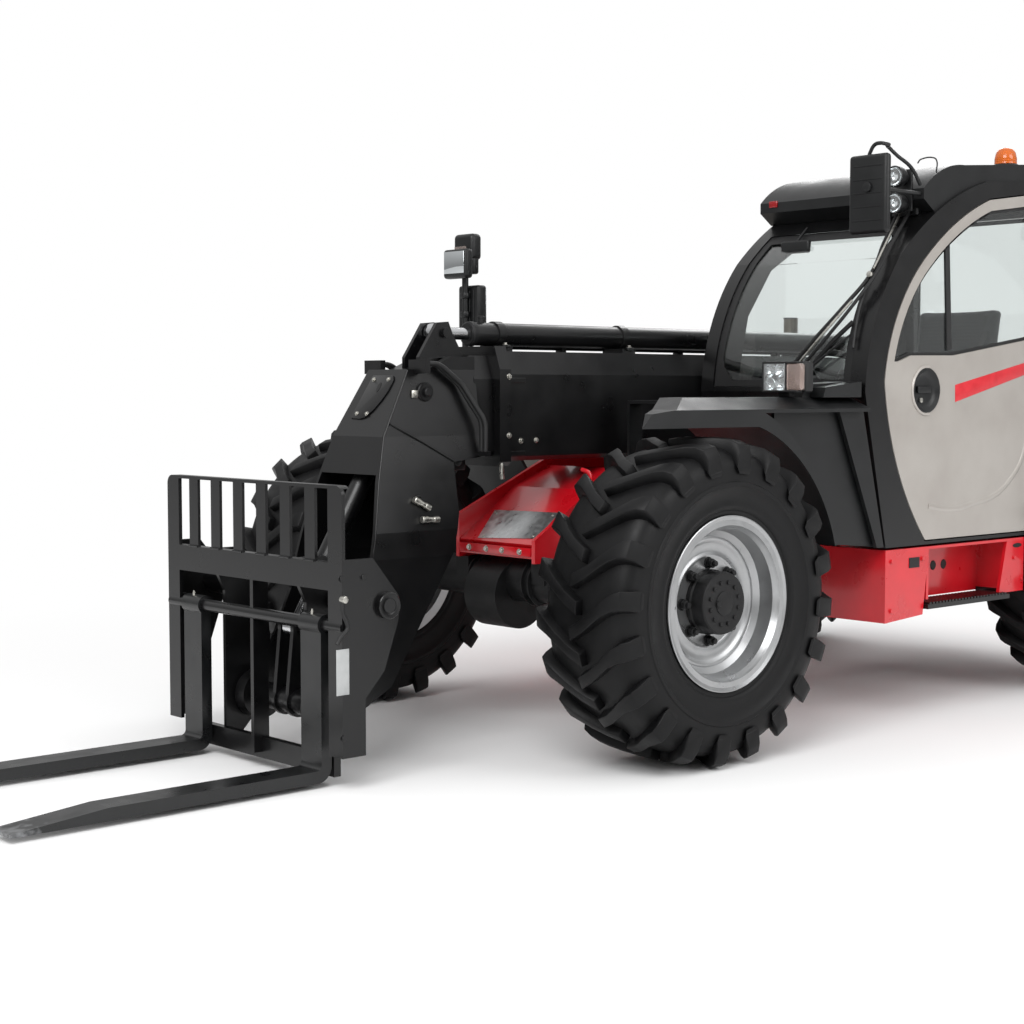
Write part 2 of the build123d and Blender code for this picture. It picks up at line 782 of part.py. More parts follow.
deck_top = axle_z + fender_radius + fender_thickness
front_deck_rows = (  # side, front end of the deck, rear end of the deck
    (1, 60, -960),
    (-1, -90, -700),
)
lip_z = 1284  # lower edge of the deck's turned-down outer rim
rim_top = 1351  # the deck's shoulder slopes down to this height at its outer edge
shoulder_y = 1010
nose_station = 389  # where the left deck's sloping nose ends
front_fender_end = 167  # degrees round from the forward direction
lip_rear = [  # round the back of the wheel, out along the top and back along the lower edge
    (-260, rim_top),
    (-577, 1136, -751, 798),
    (-738, 795),
    (-545, 1118, -262, lip_z),
]
deck_section = [
    (fender_inner_y, deck_top - fender_thickness),
    (fender_inner_y, deck_top),
    (shoulder_y, deck_top),
    (fender_outer_y, rim_top),
    (fender_outer_y, rim_top - fender_thickness),
    (shoulder_y - 4, deck_top - fender_thickness),
]
shoulder_section = deck_section[2:]
above_shoulder = [
    (shoulder_y, deck_top),
    (fender_outer_y, rim_top),
    (fender_outer_y + 20, rim_top),
    (fender_outer_y + 20, deck_top + 100),
    (shoulder_y, deck_top + 100),
]


def across_prism(rows, side, start, end, mode=Mode.ADD):
    """A prism between two stations; its section is rows of (distance to the side, height)."""
    with BuildSketch(Plane.YZ.offset(ahead(start))) as section:
        with BuildLine():
            Polyline(*[(side * y, z) for y, z in rows], close=True)
        make_face()
    extrude(section.sketch, amount=end - start, mode=mode)


with BuildPart() as front_fenders:
    for side, deck_start, deck_end in front_deck_rows:
        low, high = sorted((side * fender_inner_y, side * fender_outer_y))
        rim_low, rim_high = sorted((side * (fender_outer_y - fender_thickness), side * fender_outer_y))
        side_slab(arc_band(0, fender_radius, 97, front_fender_end, fender_thickness), low, high)
        across_prism(deck_section, side, deck_end, deck_start)
        side_slab([(deck_start, lip_z), (deck_start, rim_top), *lip_rear], rim_low, rim_high)
        arm_low, arm_high = sorted((side * rail_outer, side * (fender_outer_y - 20)))
        block(-420, -500, arm_low, arm_high, deck_top - fender_thickness - 14, deck_top - fender_thickness)
        riser_low, riser_high = sorted((side * rail_outer, side * (rail_outer + 14)))
        block(-420, -500, riser_low, riser_high, 900, deck_top - fender_thickness)
    # the left deck's nose slopes down to the rim and is cut back towards the boom
    side_slab(
        [
            (nose_station, lip_z), (nose_station - 54, 1338), (200, 1353), (58, deck_top),
            (58, deck_top - fender_thickness), (196, 1339), (nose_station - 61, 1324),
            (nose_station - 14, lip_z),
        ],
        fender_inner_y,
        fender_outer_y,
    )
    side_slab(
        [(nose_station, lip_z), (nose_station - 54, 1338), (200, rim_top), (50, rim_top), (50, lip_z)],
        fender_outer_y - fender_thickness, fender_outer_y,
    )
    across_prism(shoulder_section, 1, 50, 200)
    side_slab(
        [(58, deck_top), (200, 1353), (nose_station, 1353), (nose_station, deck_top + 50), (58, deck_top + 50)],
        fender_inner_y - 1, fender_outer_y + 1, Mode.SUBTRACT,
    )
    # side panel between the left mudguard and the cab's front edge, and the closing plate behind it
    side_slab([(-790, 1376), (-955, 1376), (-1116, 765), (-1070, 765)], cab_outer_y - 18, cab_outer_y)
    side_slab(
        [(-427, 1384), (-953, 1384), (-1114, 767), (-744, 797), (-630, 1057, -427, 1258)],
        cab_outer_y - 40, cab_outer_y - 26,
    )
    side_slab([(-940, 1384), (-953, 1384), (-1114, 767), (-1101, 767)], cab_outer_y - 40, cab_outer_y - 17)
    for side in (1, -1):
        across_prism(above_shoulder, side, -1000, 400, Mode.SUBTRACT)
    with BuildSketch(Plane.XY.offset(1200)):
        with BuildLine():
            Polyline(
                (ahead(nose_station + 1), fender_outer_y + 1), (ahead(-340), fender_inner_y - 1),
                (ahead(600), fender_inner_y - 1), (ahead(600), fender_outer_y + 1), close=True,
            )
        make_face()
    extrude(amount=300, mode=Mode.SUBTRACT)
save(front_fenders, "front_fenders")

with BuildPart() as cowl:
    side_slab(
        [(-650, deck_top), (-680, deck_top + 52), (-950, deck_top + 64), (-950, deck_top)],
        900, shoulder_y,
    )
    side_slab(
        [(-700, deck_top), (-715, deck_top + 40), (-950, deck_top + 64), (-950, deck_top)],
        shoulder_y - 1, cab_outer_y,
    )
save(cowl, "cowl")

rear_fender_start = {1: 62, -1: 28}
with BuildPart() as rear_fenders:
    for side in (1, -1):
        low, high = sorted((side * fender_inner_y, side * fender_outer_y))
        side_slab(
            arc_band(rear_axle, fender_radius, rear_fender_start[side], 148, fender_thickness), low, high,
        )
        arm_low, arm_high = sorted((side * rail_outer, side * (fender_inner_y + 40)))
        block(
            rear_axle - 60, rear_axle - 140, arm_low, arm_high, deck_top - fender_thickness - 24,
            deck_top - 8,
        )
save(rear_fenders, "rear_fenders")

# --------------------------------------------- lamps, mirrors, exhaust and rear end
headlamp_z = 1412
with BuildPart() as headlamp_left:
    block(-548, -640, 885, 1085, headlamp_z, headlamp_z + 128)
    block(-580, -620, 930, 990, deck_top, headlamp_z)
save(headlamp_left, "headlamp_left")
lamp_post_y = -1000
with BuildPart() as lamp_post:
    post(-575, lamp_post_y, 16, deck_top, 2080)
    block(-500, -560, lamp_post_y - 85, lamp_post_y + 85, 1960, 2100)
    block(-590, -650, lamp_post_y - 75, lamp_post_y + 75, 1700, 1930)
    block(-590, -660, lamp_post_y - 110, lamp_post_y + 30, 2040, 2180)
save(lamp_post, "lamp_post")
with BuildPart() as mirror_left:
    block(-910, -955, 1030, 1222, 2060, 2380)
    rod_between((-930, 2262), 180, 0, 455, 9, y=1045)
save(mirror_left, "mirror_left")
with BuildPart() as work_lamps:
    for height in (2335, 2222):
        with Locations(Location((ahead(-1335), 970, height), (0, 90, 0))):
            Cylinder(46, 70)
    block(-1370, -1385, 930, 1010, 2190, 2370)
save(work_lamps, "work_lamps")
with BuildPart() as beacon:
    post(beacon_x, beacon_y, 62, beacon_seat_z, beacon_seat_z + 24)
    post(beacon_x, beacon_y, beacon_radius, beacon_seat_z + 24, beacon_seat_z + 56)
    with Locations((ahead(beacon_x), beacon_y, beacon_seat_z + 56)):
        Sphere(beacon_radius)
save(beacon, "beacon")
with BuildPart() as exhaust:
    post(pod_rear - 90, -380, 36, 1050, 1800)
    block(pod_rear - 50, pod_rear - 130, -380, -rail_outer, 1060, 1100)
save(exhaust, "exhaust")

counterweight_rear = bumper_front - 60
with BuildPart() as counterweight:
    block(bumper_front, counterweight_rear, -460, 460, 620, 1200)
    block(bumper_front, counterweight_rear + 10, -1020, 1020, 880, 1080)
save(counterweight, "counterweight")
with BuildPart() as tail_lamps:
    for side in (1, -1):
        low, high = sorted((side * 840, side * 980))
        block(counterweight_rear + 10, counterweight_rear - 20, low, high, 930, 1030)
save(tail_lamps, "tail_lamps")
tow_bore_radius = 16
tow_bore_station = rear_end + 30
with BuildPart() as tow_hitch:
    for low, high in ((680, 700), (760, 780)):
        block(counterweight_rear, rear_end, -45, 45, low, high)
    block(counterweight_rear, counterweight_rear - 12, -45, 45, 680, 780)
    post(tow_bore_station, 0, tow_bore_radius, 600, 900, Mode.SUBTRACT)
save(tow_hitch, "tow_hitch")

# --------------------------------------------- outer boom and its cylinders
def boom_section(inset, x):
    """The boom's cross-section at a station: a box with bent upper corners, shrunk by inset."""
    half = boom_half_width - inset
    low, high = boom_bottom + inset, boom_top - inset
    with BuildSketch(Plane.YZ.offset(ahead(x))) as section:
        with BuildLine():
            Polyline(
                (-half, low + 18), (-half + 18, low), (half - 18, low), (half, low + 18),
                (half, high - 95), (half - 35, high), (-half + 35, high), (-half, high - 95), close=True,
            )
        make_face()
    return section.sketch


def boom_length(inset, x_low, x_high, mode=Mode.ADD):
    """A length of boom section between two stations."""
    extrude(boom_section(inset, x_low), amount=x_high - x_low, mode=mode)


boom_rear = boom_pivot_x - 110
inner_inset = boom_wall + inner_clearance
with BuildPart() as boom_outer:
    boom_length(0, boom_rear, boom_front)
    boom_length(-20, boom_front - 60, boom_front)
    boom_length(boom_wall, boom_rear + 20, boom_front + 1, Mode.SUBTRACT)
    boom_length(boom_wall - 1, boom_front - 110, boom_front - 4)
    boom_length(inner_inset - slide_gap, boom_front - 111, boom_front, Mode.SUBTRACT)
    cross_bar(boom_pivot_x, boom_pivot_z, 82, -rail_half_gap + 6, rail_half_gap - 6)
    cross_bar(boom_pivot_x, boom_pivot_z, boom_pin_radius + pin_gap, -400, 400, Mode.SUBTRACT)
    for side in (1, -1):
        low, high = sorted((side * 58, side * 80))
        side_slab(
            [
                (lift_eye_x + 170, boom_bottom + 2), (lift_eye_x + 45, lift_eye_z - 55),
                (lift_eye_x - 45, lift_eye_z - 55), (lift_eye_x - 170, boom_bottom + 2),
            ],
            low,
            high,
        )
        low, high = sorted((side * 79, side * 98))
        cross_bar(lift_eye_x, lift_eye_z, 34, low, high)
save(boom_outer, "boom_outer")

telescope_z = 1656
telescope_barrel_radius = 48
telescope_rod_radius = 25
telescope_eye_x = 431
telescope_length = telescope_travel + 100  # of the barrel, behind the front axle
telescope_saddles = (110, -620, 60 - telescope_length)
with BuildPart() as telescope_barrel:
    rod_between((0, telescope_z), 180, -250, telescope_length, telescope_barrel_radius)
    for station in telescope_saddles:
        block(
            station - 40, station + 40, -62, 62, boom_top, telescope_z - telescope_barrel_radius - seat_gap,
        )
    rod_between(
        (0, telescope_z), 180, -200, telescope_length - 20, telescope_barrel_radius - 10, mode=Mode.SUBTRACT
    )
    rod_between((0, telescope_z), 180, -251, -199, telescope_rod_radius + pin_gap, mode=Mode.SUBTRACT)
save(telescope_barrel, "telescope_barrel")

with BuildPart() as lift_barrel:
    foot = (lift_foot_x, lift_foot_z)
    rod_between(foot, lift_angle, 30, lift_closed - 110, lift_barrel_radius)
    rod_between(foot, lift_angle, 110, lift_closed - 150, lift_barrel_radius - 12, mode=Mode.SUBTRACT)
    rod_between(
        foot, lift_angle, lift_closed - 151, lift_closed, lift_rod_radius + pin_gap, mode=Mode.SUBTRACT,
    )
    cross_bar(*foot, 72, -60, 60)
    cross_bar(*foot, lift_foot_radius + pin_gap, -80, 80, Mode.SUBTRACT)
save(lift_barrel, "lift_cylinder_barrel")
with BuildPart() as lift_rod:
    rod_between(foot, lift_angle, lift_closed - 150 - lift_stroke - 40, lift_closed - 20, lift_rod_radius)
    cross_bar(lift_eye_x, lift_eye_z, 52, -45, 45)
save(lift_rod, "lift_cylinder_rod")

# --------------------------------------------- inner boom with the drop head
inner_rear = boom_front - 650 - telescope_travel
eye_plate = [  # ahead of the telescope rod's eye, height
    (-110, 1490),
    (-110, 1545),
    (-42, telescope_z),
    (-22, telescope_z + 45),
    (38, telescope_z + 40),
    (132, 1557),
    (132, 1490),
]
hose_radius = 10
hose_pitch = 23
hose_bend = 95
hose_run = [  # station, side, height of the inner hose
    (620, 142, 1530),
    (550, 142, 1530),
    (440, 150, 1450),
    (352, 192, 1300),
    (352, 192, 1180),
]
head_outline = [
    (330, 1160),
    (330, 1560),
    (450, 1560),
    (575, 1507),
    (678, 1507),
    (830, 1245),
    (884, 1070),
    (935, 860),
    (985, 640),
    (tilt_pivot_x - 22, tilt_pivot_z + 92),
    (tilt_pivot_x + 95, tilt_pivot_z, tilt_pivot_x - 40, tilt_pivot_z - 86),
    (860, 290),
    (547, 790),
    (500, 940),
    (490, 1140),
]
head_cavity = [
    (506, 1480),
    (664, 1488),
    (812, 1243),
    (857, 1100),
    (1300, 1100),
    (1300, 60),
    (1100, 60),
    (890, 292),
    (562, 796),
    (514, 943),
    (506, 1140),
]
head_front_view = [  # half width, height
    (122, 1600),
    (122, 1507),
    (160, 1245),
    (197, 1070),
    (240, 880),
    (250, 780),
    (250, 60),
]


def head_wedge(rows, inset):
    """The head's flared body in the front view, shrunk by inset, as a long prism."""
    with BuildSketch(Plane.YZ.offset(ahead(300))) as view:
        with BuildLine():
            Polyline(
                *[(half - inset, z) for half, z in rows],
                *[(inset - half, z) for half, z in reversed(rows)],
                close=True,
            )
        make_face()
    return view.sketch


with BuildPart() as head:
    side_slab(head_outline, -250, 250)
    extrude(head_wedge(head_front_view, 0), amount=1200, mode=Mode.INTERSECT)
with BuildPart() as head_room:
    side_slab(head_cavity, -250, 250)
    extrude(head_wedge(head_front_view, 14), amount=1200, mode=Mode.INTERSECT)
with BuildPart() as boom_inner:
    boom_length(inner_inset, inner_rear, 340)
    add(head.part)
    boom_length(inner_inset + 10, inner_rear - 1, 494, Mode.SUBTRACT)
    add(head_room.part, mode=Mode.SUBTRACT)
    for side in (1, -1):
        low, high = sorted((side * 190, side * 250))
        cross_bar(tilt_pivot_x, tilt_pivot_z, 95, low, high)
        low, high = sorted((side * 36, side * 54))
        side_slab([(telescope_eye_x + along, height) for along, height in eye_plate], low, high)
        # blocks that hold the hoses' ends
        low, high = sorted((side * 90, side * 196))
        block(hose_run[0][0], hose_run[0][0] + 25, low, high, 1490, 1545)
        low, high = sorted((side * 160, side * 232))
        block(hose_run[-1][0] - 14, hose_run[-1][0] + 14, low, high, hose_run[-1][2] - 18, hose_run[-1][2])
        low, high = sorted((side * 48, side * 150))
        cross_bar(tilt_foot_x, tilt_foot_z, 34, low, high)
    cross_bar(telescope_eye_x, telescope_z, 20, -72, 72)
    cross_bar(tilt_foot_x, tilt_foot_z, 22, -100, 100)
    cross_bar(tilt_pivot_x, tilt_pivot_z, tilt_pin_radius + pin_gap, -300, 300, Mode.SUBTRACT)
    boom_length(boom_wall + slide_gap, inner_rear, inner_rear + 120)
    boom_length(inner_inset + 10, inner_rear - 1, inner_rear + 121, Mode.SUBTRACT)
save(boom_inner, "boom_inner")

with BuildPart() as head_hoses:
    for side in (1, -1):
        for outward in (0, hose_pitch):
            with BuildLine() as course:
                FilletPolyline(
                    *[(ahead(x), side * (y + outward), z) for x, y, z in hose_run], radius=hose_bend,
                )
            with BuildSketch(Plane(origin=course.line @ 0, z_dir=course.line % 0)):
                Circle(hose_radius)
            sweep(path=course.line)
save(head_hoses, "head_hoses")

with BuildPart() as telescope_rod:
    rod_between((telescope_eye_x, telescope_z), 180, 20, telescope_travel + 380, telescope_rod_radius)
    cross_bar(telescope_eye_x, telescope_z, 40, -30, 30)
    cross_bar(telescope_eye_x, telescope_z, 20 + pin_gap, -31, 31, Mode.SUBTRACT)
save(telescope_rod, "telescope_rod")

tilt_foot = (tilt_foot_x, tilt_foot_z)
with BuildPart() as tilt_barrel:
    rod_between(tilt_foot, tilt_angle, 20, tilt_closed - 180, tilt_barrel_radius)
    rod_between(tilt_foot, tilt_angle, 70, tilt_closed - 220, tilt_barrel_radius - 10, mode=Mode.SUBTRACT)
    rod_between(
        tilt_foot, tilt_angle, tilt_closed - 221, tilt_closed, tilt_rod_radius + pin_gap,
        mode=Mode.SUBTRACT,
    )
    cross_bar(*tilt_foot, 44, -38, 38)
    cross_bar(*tilt_foot, 22 + pin_gap, -60, 60, Mode.SUBTRACT)
save(tilt_barrel, "tilt_cylinder_barrel")
with BuildPart() as tilt_rod:
    rod_between(tilt_foot, tilt_angle, tilt_closed - 230 - tilt_stroke, tilt_closed - 20, tilt_rod_radius)
    cross_bar(crank_x, crank_z, 38, -26, 26)
save(tilt_rod, "tilt_cylinder_rod")

# --------------------------------------------- fork carriage
upright_thickness = 15
carriage_front = carriage_face + fork_thickness - 5
side_plate = [
    (carriage_front, 125),
    (carriage_front, 830),
    (1200, 830),
    (1085, 690),
    (1085, 600),
    (1150, 420),
    (1235, 330),
    (1235, 125),
]
carrier_plate = [
    (1277, 40),
    (1277, 650),
    (1310, 720),
    (1310, 817),
    (1190, 817),
    (1085, 700),
    (1085, 600),
    (tilt_pivot_x - 95, 300),
    (tilt_pivot_x - 95, tilt_pivot_z),
    (tilt_pivot_x - 67, tilt_pivot_z - 67, tilt_pivot_x, tilt_pivot_z - 95),
    (1250, 40),
]
grille_bar_count = 6
grille_bar_pitch = 155
grille_corner_radius = 34


def between(side, inner, outer):
    """The lower and upper Y of a piece that lies from inner to outer on one side."""
    return sorted((side * inner, side * outer))


with BuildPart() as carriage:
    for side in (1, -1):
        side_slab(side_plate, *between(side, carriage_half_width - 15, carriage_half_width))
        block(
            carriage_front - upright_thickness,
            carriage_front,
            *between(side, carriage_half_width - 83, carriage_half_width),
            125,
            grille_top,
        )
        side_slab(carrier_plate, *between(side, 262, 280))
        cross_bar(1139, 656, 48, *between(side, 270, carriage_half_width + 18))
        cross_bar(tilt_pivot_x, tilt_pivot_z, 42, *between(side, 279, 294))
        low, high = between(side, 32, 52)
        cross_bar(tilt_pivot_x, tilt_pivot_z, 60, low, high)
        cross_bar(crank_x, crank_z, 42, low, high)
        side_slab(
            [
                (tilt_pivot_x - 55, tilt_pivot_z), (crank_x - 40, crank_z), (crank_x + 40, crank_z),
                (tilt_pivot_x + 55, tilt_pivot_z),
            ], low, high,
        )
        cross_bar(crank_x, crank_z, 24, *between(side, 51, 66))
    cross_bar(tilt_pivot_x, tilt_pivot_z, 50, -184, 184)
    cross_bar(tilt_pivot_x, tilt_pivot_z, tilt_pin_radius, -280, 280)
    cross_bar(
        carriage_face + fork_thickness / 2, fork_shaft_z, fork_shaft_radius, -carriage_half_width + 5,
        carriage_half_width - 5,
    )
    block(1300, carriage_front, -carriage_half_width + 10, carriage_half_width - 10, 717, 817)
    block(1262, 1292, -465, 465, 35, 115)
    block(1262, 1330, -10, 10, 60, 720)
    block(
        carriage_front - 40, carriage_front, -carriage_half_width, carriage_half_width, grille_top - 12,
        grille_top,
    )
    for number in range(grille_bar_count):
        centre = (number - (grille_bar_count - 1) / 2) * grille_bar_pitch
        block(carriage_front - 12, carriage_front, centre - 31, centre + 31, 810, grille_top - 5)
    for side in (1, -1):
        edge = side * carriage_half_width
        inner = side * (carriage_half_width - grille_corner_radius)
        middle = side * (carriage_half_width - 0.293 * grille_corner_radius)
        with BuildSketch(Plane.YZ.offset(ahead(carriage_front - 45))):
            with BuildLine():
                Polyline((inner, grille_top), (edge, grille_top), (edge, grille_top - grille_corner_radius))
                ThreePointArc(
                    (edge, grille_top - grille_corner_radius),
                    (middle, grille_top - 0.293 * grille_corner_radius),
                    (inner, grille_top),
                )
            make_face()
        extrude(amount=50, mode=Mode.SUBTRACT)
save(carriage, "carriage")

heel_radius = 60
tip_station = carriage_face + fork_thickness + fork_length
fork_outline = [
    (carriage_face, fork_shaft_z - 25),
    (carriage_face, fork_underside + heel_radius),
    (
        carriage_face + 0.293 * heel_radius, fork_underside + 0.293 * heel_radius,
        carriage_face + heel_radius, fork_underside,
    ),
    (tip_station, fork_underside),
    (tip_station, fork_underside + 12),
    (tip_station - 350, fork_underside + fork_thickness),
    (carriage_face + fork_thickness + 20, fork_underside + fork_thickness),
    (
        carriage_face + fork_thickness + 6, fork_underside + fork_thickness + 6,
        carriage_face + fork_thickness, fork_underside + fork_thickness + 20,
    ),
    (carriage_face + fork_thickness, fork_shaft_z - 25),
]
for name, side in (("fork_left", 1), ("fork_right", -1)):
    centre = side * fork_spacing_half
    with BuildPart() as fork:
        side_slab(fork_outline, centre - fork_width / 2, centre + fork_width / 2)
        cross_bar(
            carriage_face + fork_thickness / 2, fork_shaft_z, 36, centre - fork_width / 2,
            centre + fork_width / 2,
        )
        cross_bar(
            carriage_face + fork_thickness / 2, fork_shaft_z, fork_shaft_radius + pin_gap, centre - 100,
            centre + 100, Mode.SUBTRACT,
        )
    save(fork, name)
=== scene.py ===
# %% [markdown]
# # A telehandler, dressed in Blender
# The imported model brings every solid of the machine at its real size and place: frame, axles, cab, boom and forks.
# This notebook gives each of them a real finish, and adds what only shows up close, such as tyre tread, wheel
# nuts, hoses, seals, wipers and lamp lenses.  The CAD meshes are never moved or changed.
# %% Load the machine as a fixed frame
import math

import bmesh
import bpy
from mathutils import Matrix, Vector


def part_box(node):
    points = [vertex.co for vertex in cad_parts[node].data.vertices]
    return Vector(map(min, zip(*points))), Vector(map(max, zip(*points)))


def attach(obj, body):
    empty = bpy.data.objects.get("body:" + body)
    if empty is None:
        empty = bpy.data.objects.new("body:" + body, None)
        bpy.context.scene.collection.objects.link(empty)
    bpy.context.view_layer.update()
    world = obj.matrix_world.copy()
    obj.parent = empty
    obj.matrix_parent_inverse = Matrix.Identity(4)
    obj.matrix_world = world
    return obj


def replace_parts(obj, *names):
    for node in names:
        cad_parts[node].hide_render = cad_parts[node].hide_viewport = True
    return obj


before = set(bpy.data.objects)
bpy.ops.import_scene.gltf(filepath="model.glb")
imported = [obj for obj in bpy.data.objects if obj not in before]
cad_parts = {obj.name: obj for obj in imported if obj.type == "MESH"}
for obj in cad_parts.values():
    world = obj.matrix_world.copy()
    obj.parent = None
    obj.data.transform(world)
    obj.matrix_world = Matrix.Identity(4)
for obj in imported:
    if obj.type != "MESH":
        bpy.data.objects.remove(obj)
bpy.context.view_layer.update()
scene = bpy.context.scene

# %% [markdown]
# The front axle is where the machine was measured from.  Stations are given in metres ahead of it, heights above
# the ground, and sides to the left of the middle plane, so one number turns a station into the model's X.
# %% Stations along the machine
def middle_ahead(node_name):
    """X of a node's middle."""
    low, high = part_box(node_name)
    return (low.x + high.x) / 2


front_axle = middle_ahead("rim_front_left")
rear_axle = middle_ahead("rim_rear_left")
forwards, backwards, leftwards, upwards = (1, 0, 0), (-1, 0, 0), (0, 1, 0), (0, 0, 1)


def place(ahead, side, height):
    """A point of the machine: metres ahead of the front axle, to the left, and above the ground."""
    return Vector((front_axle + ahead, side, height))


def point(spot):
    """A tuple is a station of the machine, and a Vector is a point of the model already."""
    return spot if isinstance(spot, Vector) else place(*spot)


def side_view(side, *spots):
    """Points at one distance to the left, from pairs of (metres ahead, height)."""
    return [place(ahead, side, height) for ahead, height in spots]


def linked(name, data):
    """A new object in the scene, made of its data."""
    item = bpy.data.objects.new(name, data)
    scene.collection.objects.link(item)
    return item


print("front axle at", round(front_axle, 4), "rear axle at", round(rear_axle, 4))

# %% [markdown]
# The camera stands at the height of a person's chest, ahead and to the left of the machine.
# %% Camera
camera = linked("three_quarter_camera", bpy.data.cameras.new("three_quarter_camera"))
camera.data.lens = 62.94
camera.data.sensor_width = 36
camera.data.clip_end = 200
camera.location = place(5.058, 5.632, 1.426)
camera.rotation_euler = (math.radians(86.1), 0, math.radians(138.17))
scene.camera = camera
scene.view_settings.view_transform = "Standard"
print("camera at", tuple(round(v, 3) for v in camera.location))


# %% [markdown]
# Colours are written as they look on a screen, and Blender's shaders want them as amounts of light.
# %% Colour and node helpers
def light_of(hex_code):
    """An sRGB hex colour as linear RGBA."""
    channels = [int(hex_code[i : i + 2], 16) / 255 for i in (1, 3, 5)]
    linear = [c / 12.92 if c <= 0.04045 else ((c + 0.055) / 1.055) ** 2.4 for c in channels]
    return (*linear, 1)


def add_node(owner, kind, inputs=(), **settings):
    """Adds a shader node, sets its properties and its sockets; a socket given a socket is linked to it."""
    tree = owner.node_tree
    node = tree.nodes.new("ShaderNode" + kind)
    for key, value in settings.items():
        setattr(node, key, value)
    for key, value in dict(inputs).items():
        if isinstance(value, bpy.types.NodeSocket):
            tree.links.new(value, node.inputs[key])
        else:
            node.inputs[key].default_value = value
    return node


def shader_of(material):
    """The material's Principled shader."""
    return material.node_tree.nodes["Principled BSDF"]


def feed(material, source, socket_name):
    """Links a socket to the Principled shader's socket of that name."""
    material.node_tree.links.new(source, shader_of(material).inputs[socket_name])


def whereabouts(material):
    """The place on the object, in metres."""
    return add_node(material, "TexCoord").outputs["Object"]


def colour_ramp(material, factor, colour_low, colour_high, start=0.0, end=1.0):
    """A blend of two colours as the factor goes from start to end."""
    ramp = add_node(material, "ValToRGB", {"Fac": factor})
    for stop, position, colour in zip(ramp.color_ramp.elements, (start, end), (colour_low, colour_high)):
        stop.position = position
        stop.color = light_of(colour)
    feed(material, ramp.outputs["Color"], "Base Color")


def mottle(material, colour_low, colour_high, scale, roughness_low, roughness_high):
    """Varies colour and roughness with a noise of the given scale per metre."""
    start, end = 0.3, 0.7
    noise = add_node(material, "TexNoise", {
        "Vector": whereabouts(material), "Scale": scale, "Detail": 6})
    colour_ramp(material, noise.outputs["Fac"], colour_low, colour_high, start, end)
    spread = add_node(material, "MapRange", {
        "Value": noise.outputs["Fac"], "From Min": start, "From Max": end,
        "To Min": roughness_low, "To Max": roughness_high})
    feed(material, spread.outputs["Result"], "Roughness")


def bump(material, height, strength, distance):
    """Raises the surface with a height, by a depth in metres."""
    relief = add_node(material, "Bump", {"Strength": strength, "Distance": distance, "Height": height})
    feed(material, relief.outputs["Normal"], "Normal")


def grain(material, scale, strength, distance):
    """A fine bump of the given scale per metre and depth in metres."""
    noise = add_node(material, "TexNoise", {"Vector": whereabouts(material), "Scale": scale})
    bump(material, noise.outputs["Fac"], strength, distance)


def new_finish(name, slot, colour, roughness, mottled=(), grained=(), **sockets):
    """A material with one Principled shader; its slot argument is not used."""
    material = bpy.data.materials.new(name)
    material.use_nodes = True
    material.diffuse_color = light_of(colour)
    for key, value in {"Base_Color": light_of(colour), "Roughness": roughness, **sockets}.items():
        shader_of(material).inputs[key.replace("_", " ")].default_value = value
    if mottled:
        mottle(material, *mottled)
    if grained:
        grain(material, *grained)
    return material


print("helpers ready")

# %% [markdown]
# **Paints.**  The chassis wears a gloss two-pack enamel, the boom and its tools a satin black one.  Sprayed paint
# isn't mirror flat: a faint ripple, called orange peel, breaks up what it reflects.  Each finish is given its name,
# its slot, colour and roughness, then how it is mottled (two colours, scale, two roughnesses) and how it is grained
# (scale, strength, depth).
# %% Sprayed enamels
red_enamel = new_finish(
    "sprayed_enamel_red", "chassis_red", "#C8101E", 0.3, ("#BF0D1A", "#CE1422", 9, 0.26, 0.36), (420, 0.06, 0.0006),
    Coat_Weight=0.6, Coat_Roughness=0.1)
black_enamel = new_finish(
    "sprayed_enamel_satin_black", "boom_black", "#0C0C0D", 0.3, ("#0A0A0B", "#101011", 7, 0.26, 0.36),
    (380, 0.08, 0.0006), Specular_IOR_Level=0.35, Coat_Weight=0.15, Coat_Roughness=0.16)
fork_enamel = new_finish(
    "forged_fork_black_lacquer", "fork_black", "#101112", 0.3, ("#0C0D0E", "#161718", 11, 0.24, 0.4),
    (160, 0.12, 0.0008))
silver_lacquer = new_finish(
    "rim_silver_lacquer", "rim_silver", "#A2A3A4", 0.3, ("#9C9D9E", "#A9AAAB", 14, 0.26, 0.36),
    Metallic=0.85, Coat_Weight=0.2, Coat_Roughness=0.2)
grey_lacquer = new_finish(
    "door_warm_grey_lacquer", "door_grey", "#A9A49E", 0.34, ("#A59F99", "#ADA8A2", 6, 0.3, 0.38),
    (420, 0.05, 0.0006), Metallic=0.25, Coat_Weight=0.4, Coat_Roughness=0.15)
cast_iron = new_finish(
    "cast_iron_black_primer", "cast_black", "#101011", 0.5, ("#0D0D0E", "#181819", 18, 0.42, 0.6),
    (260, 0.3, 0.0012), Specular_IOR_Level=0.3)
stripe_red = new_finish(
    "screen_printed_red_film", "chassis_red", "#C5202B", 0.32, ("#BD1B26", "#CC2630", 30, 0.28, 0.38))
print("enamels ready")

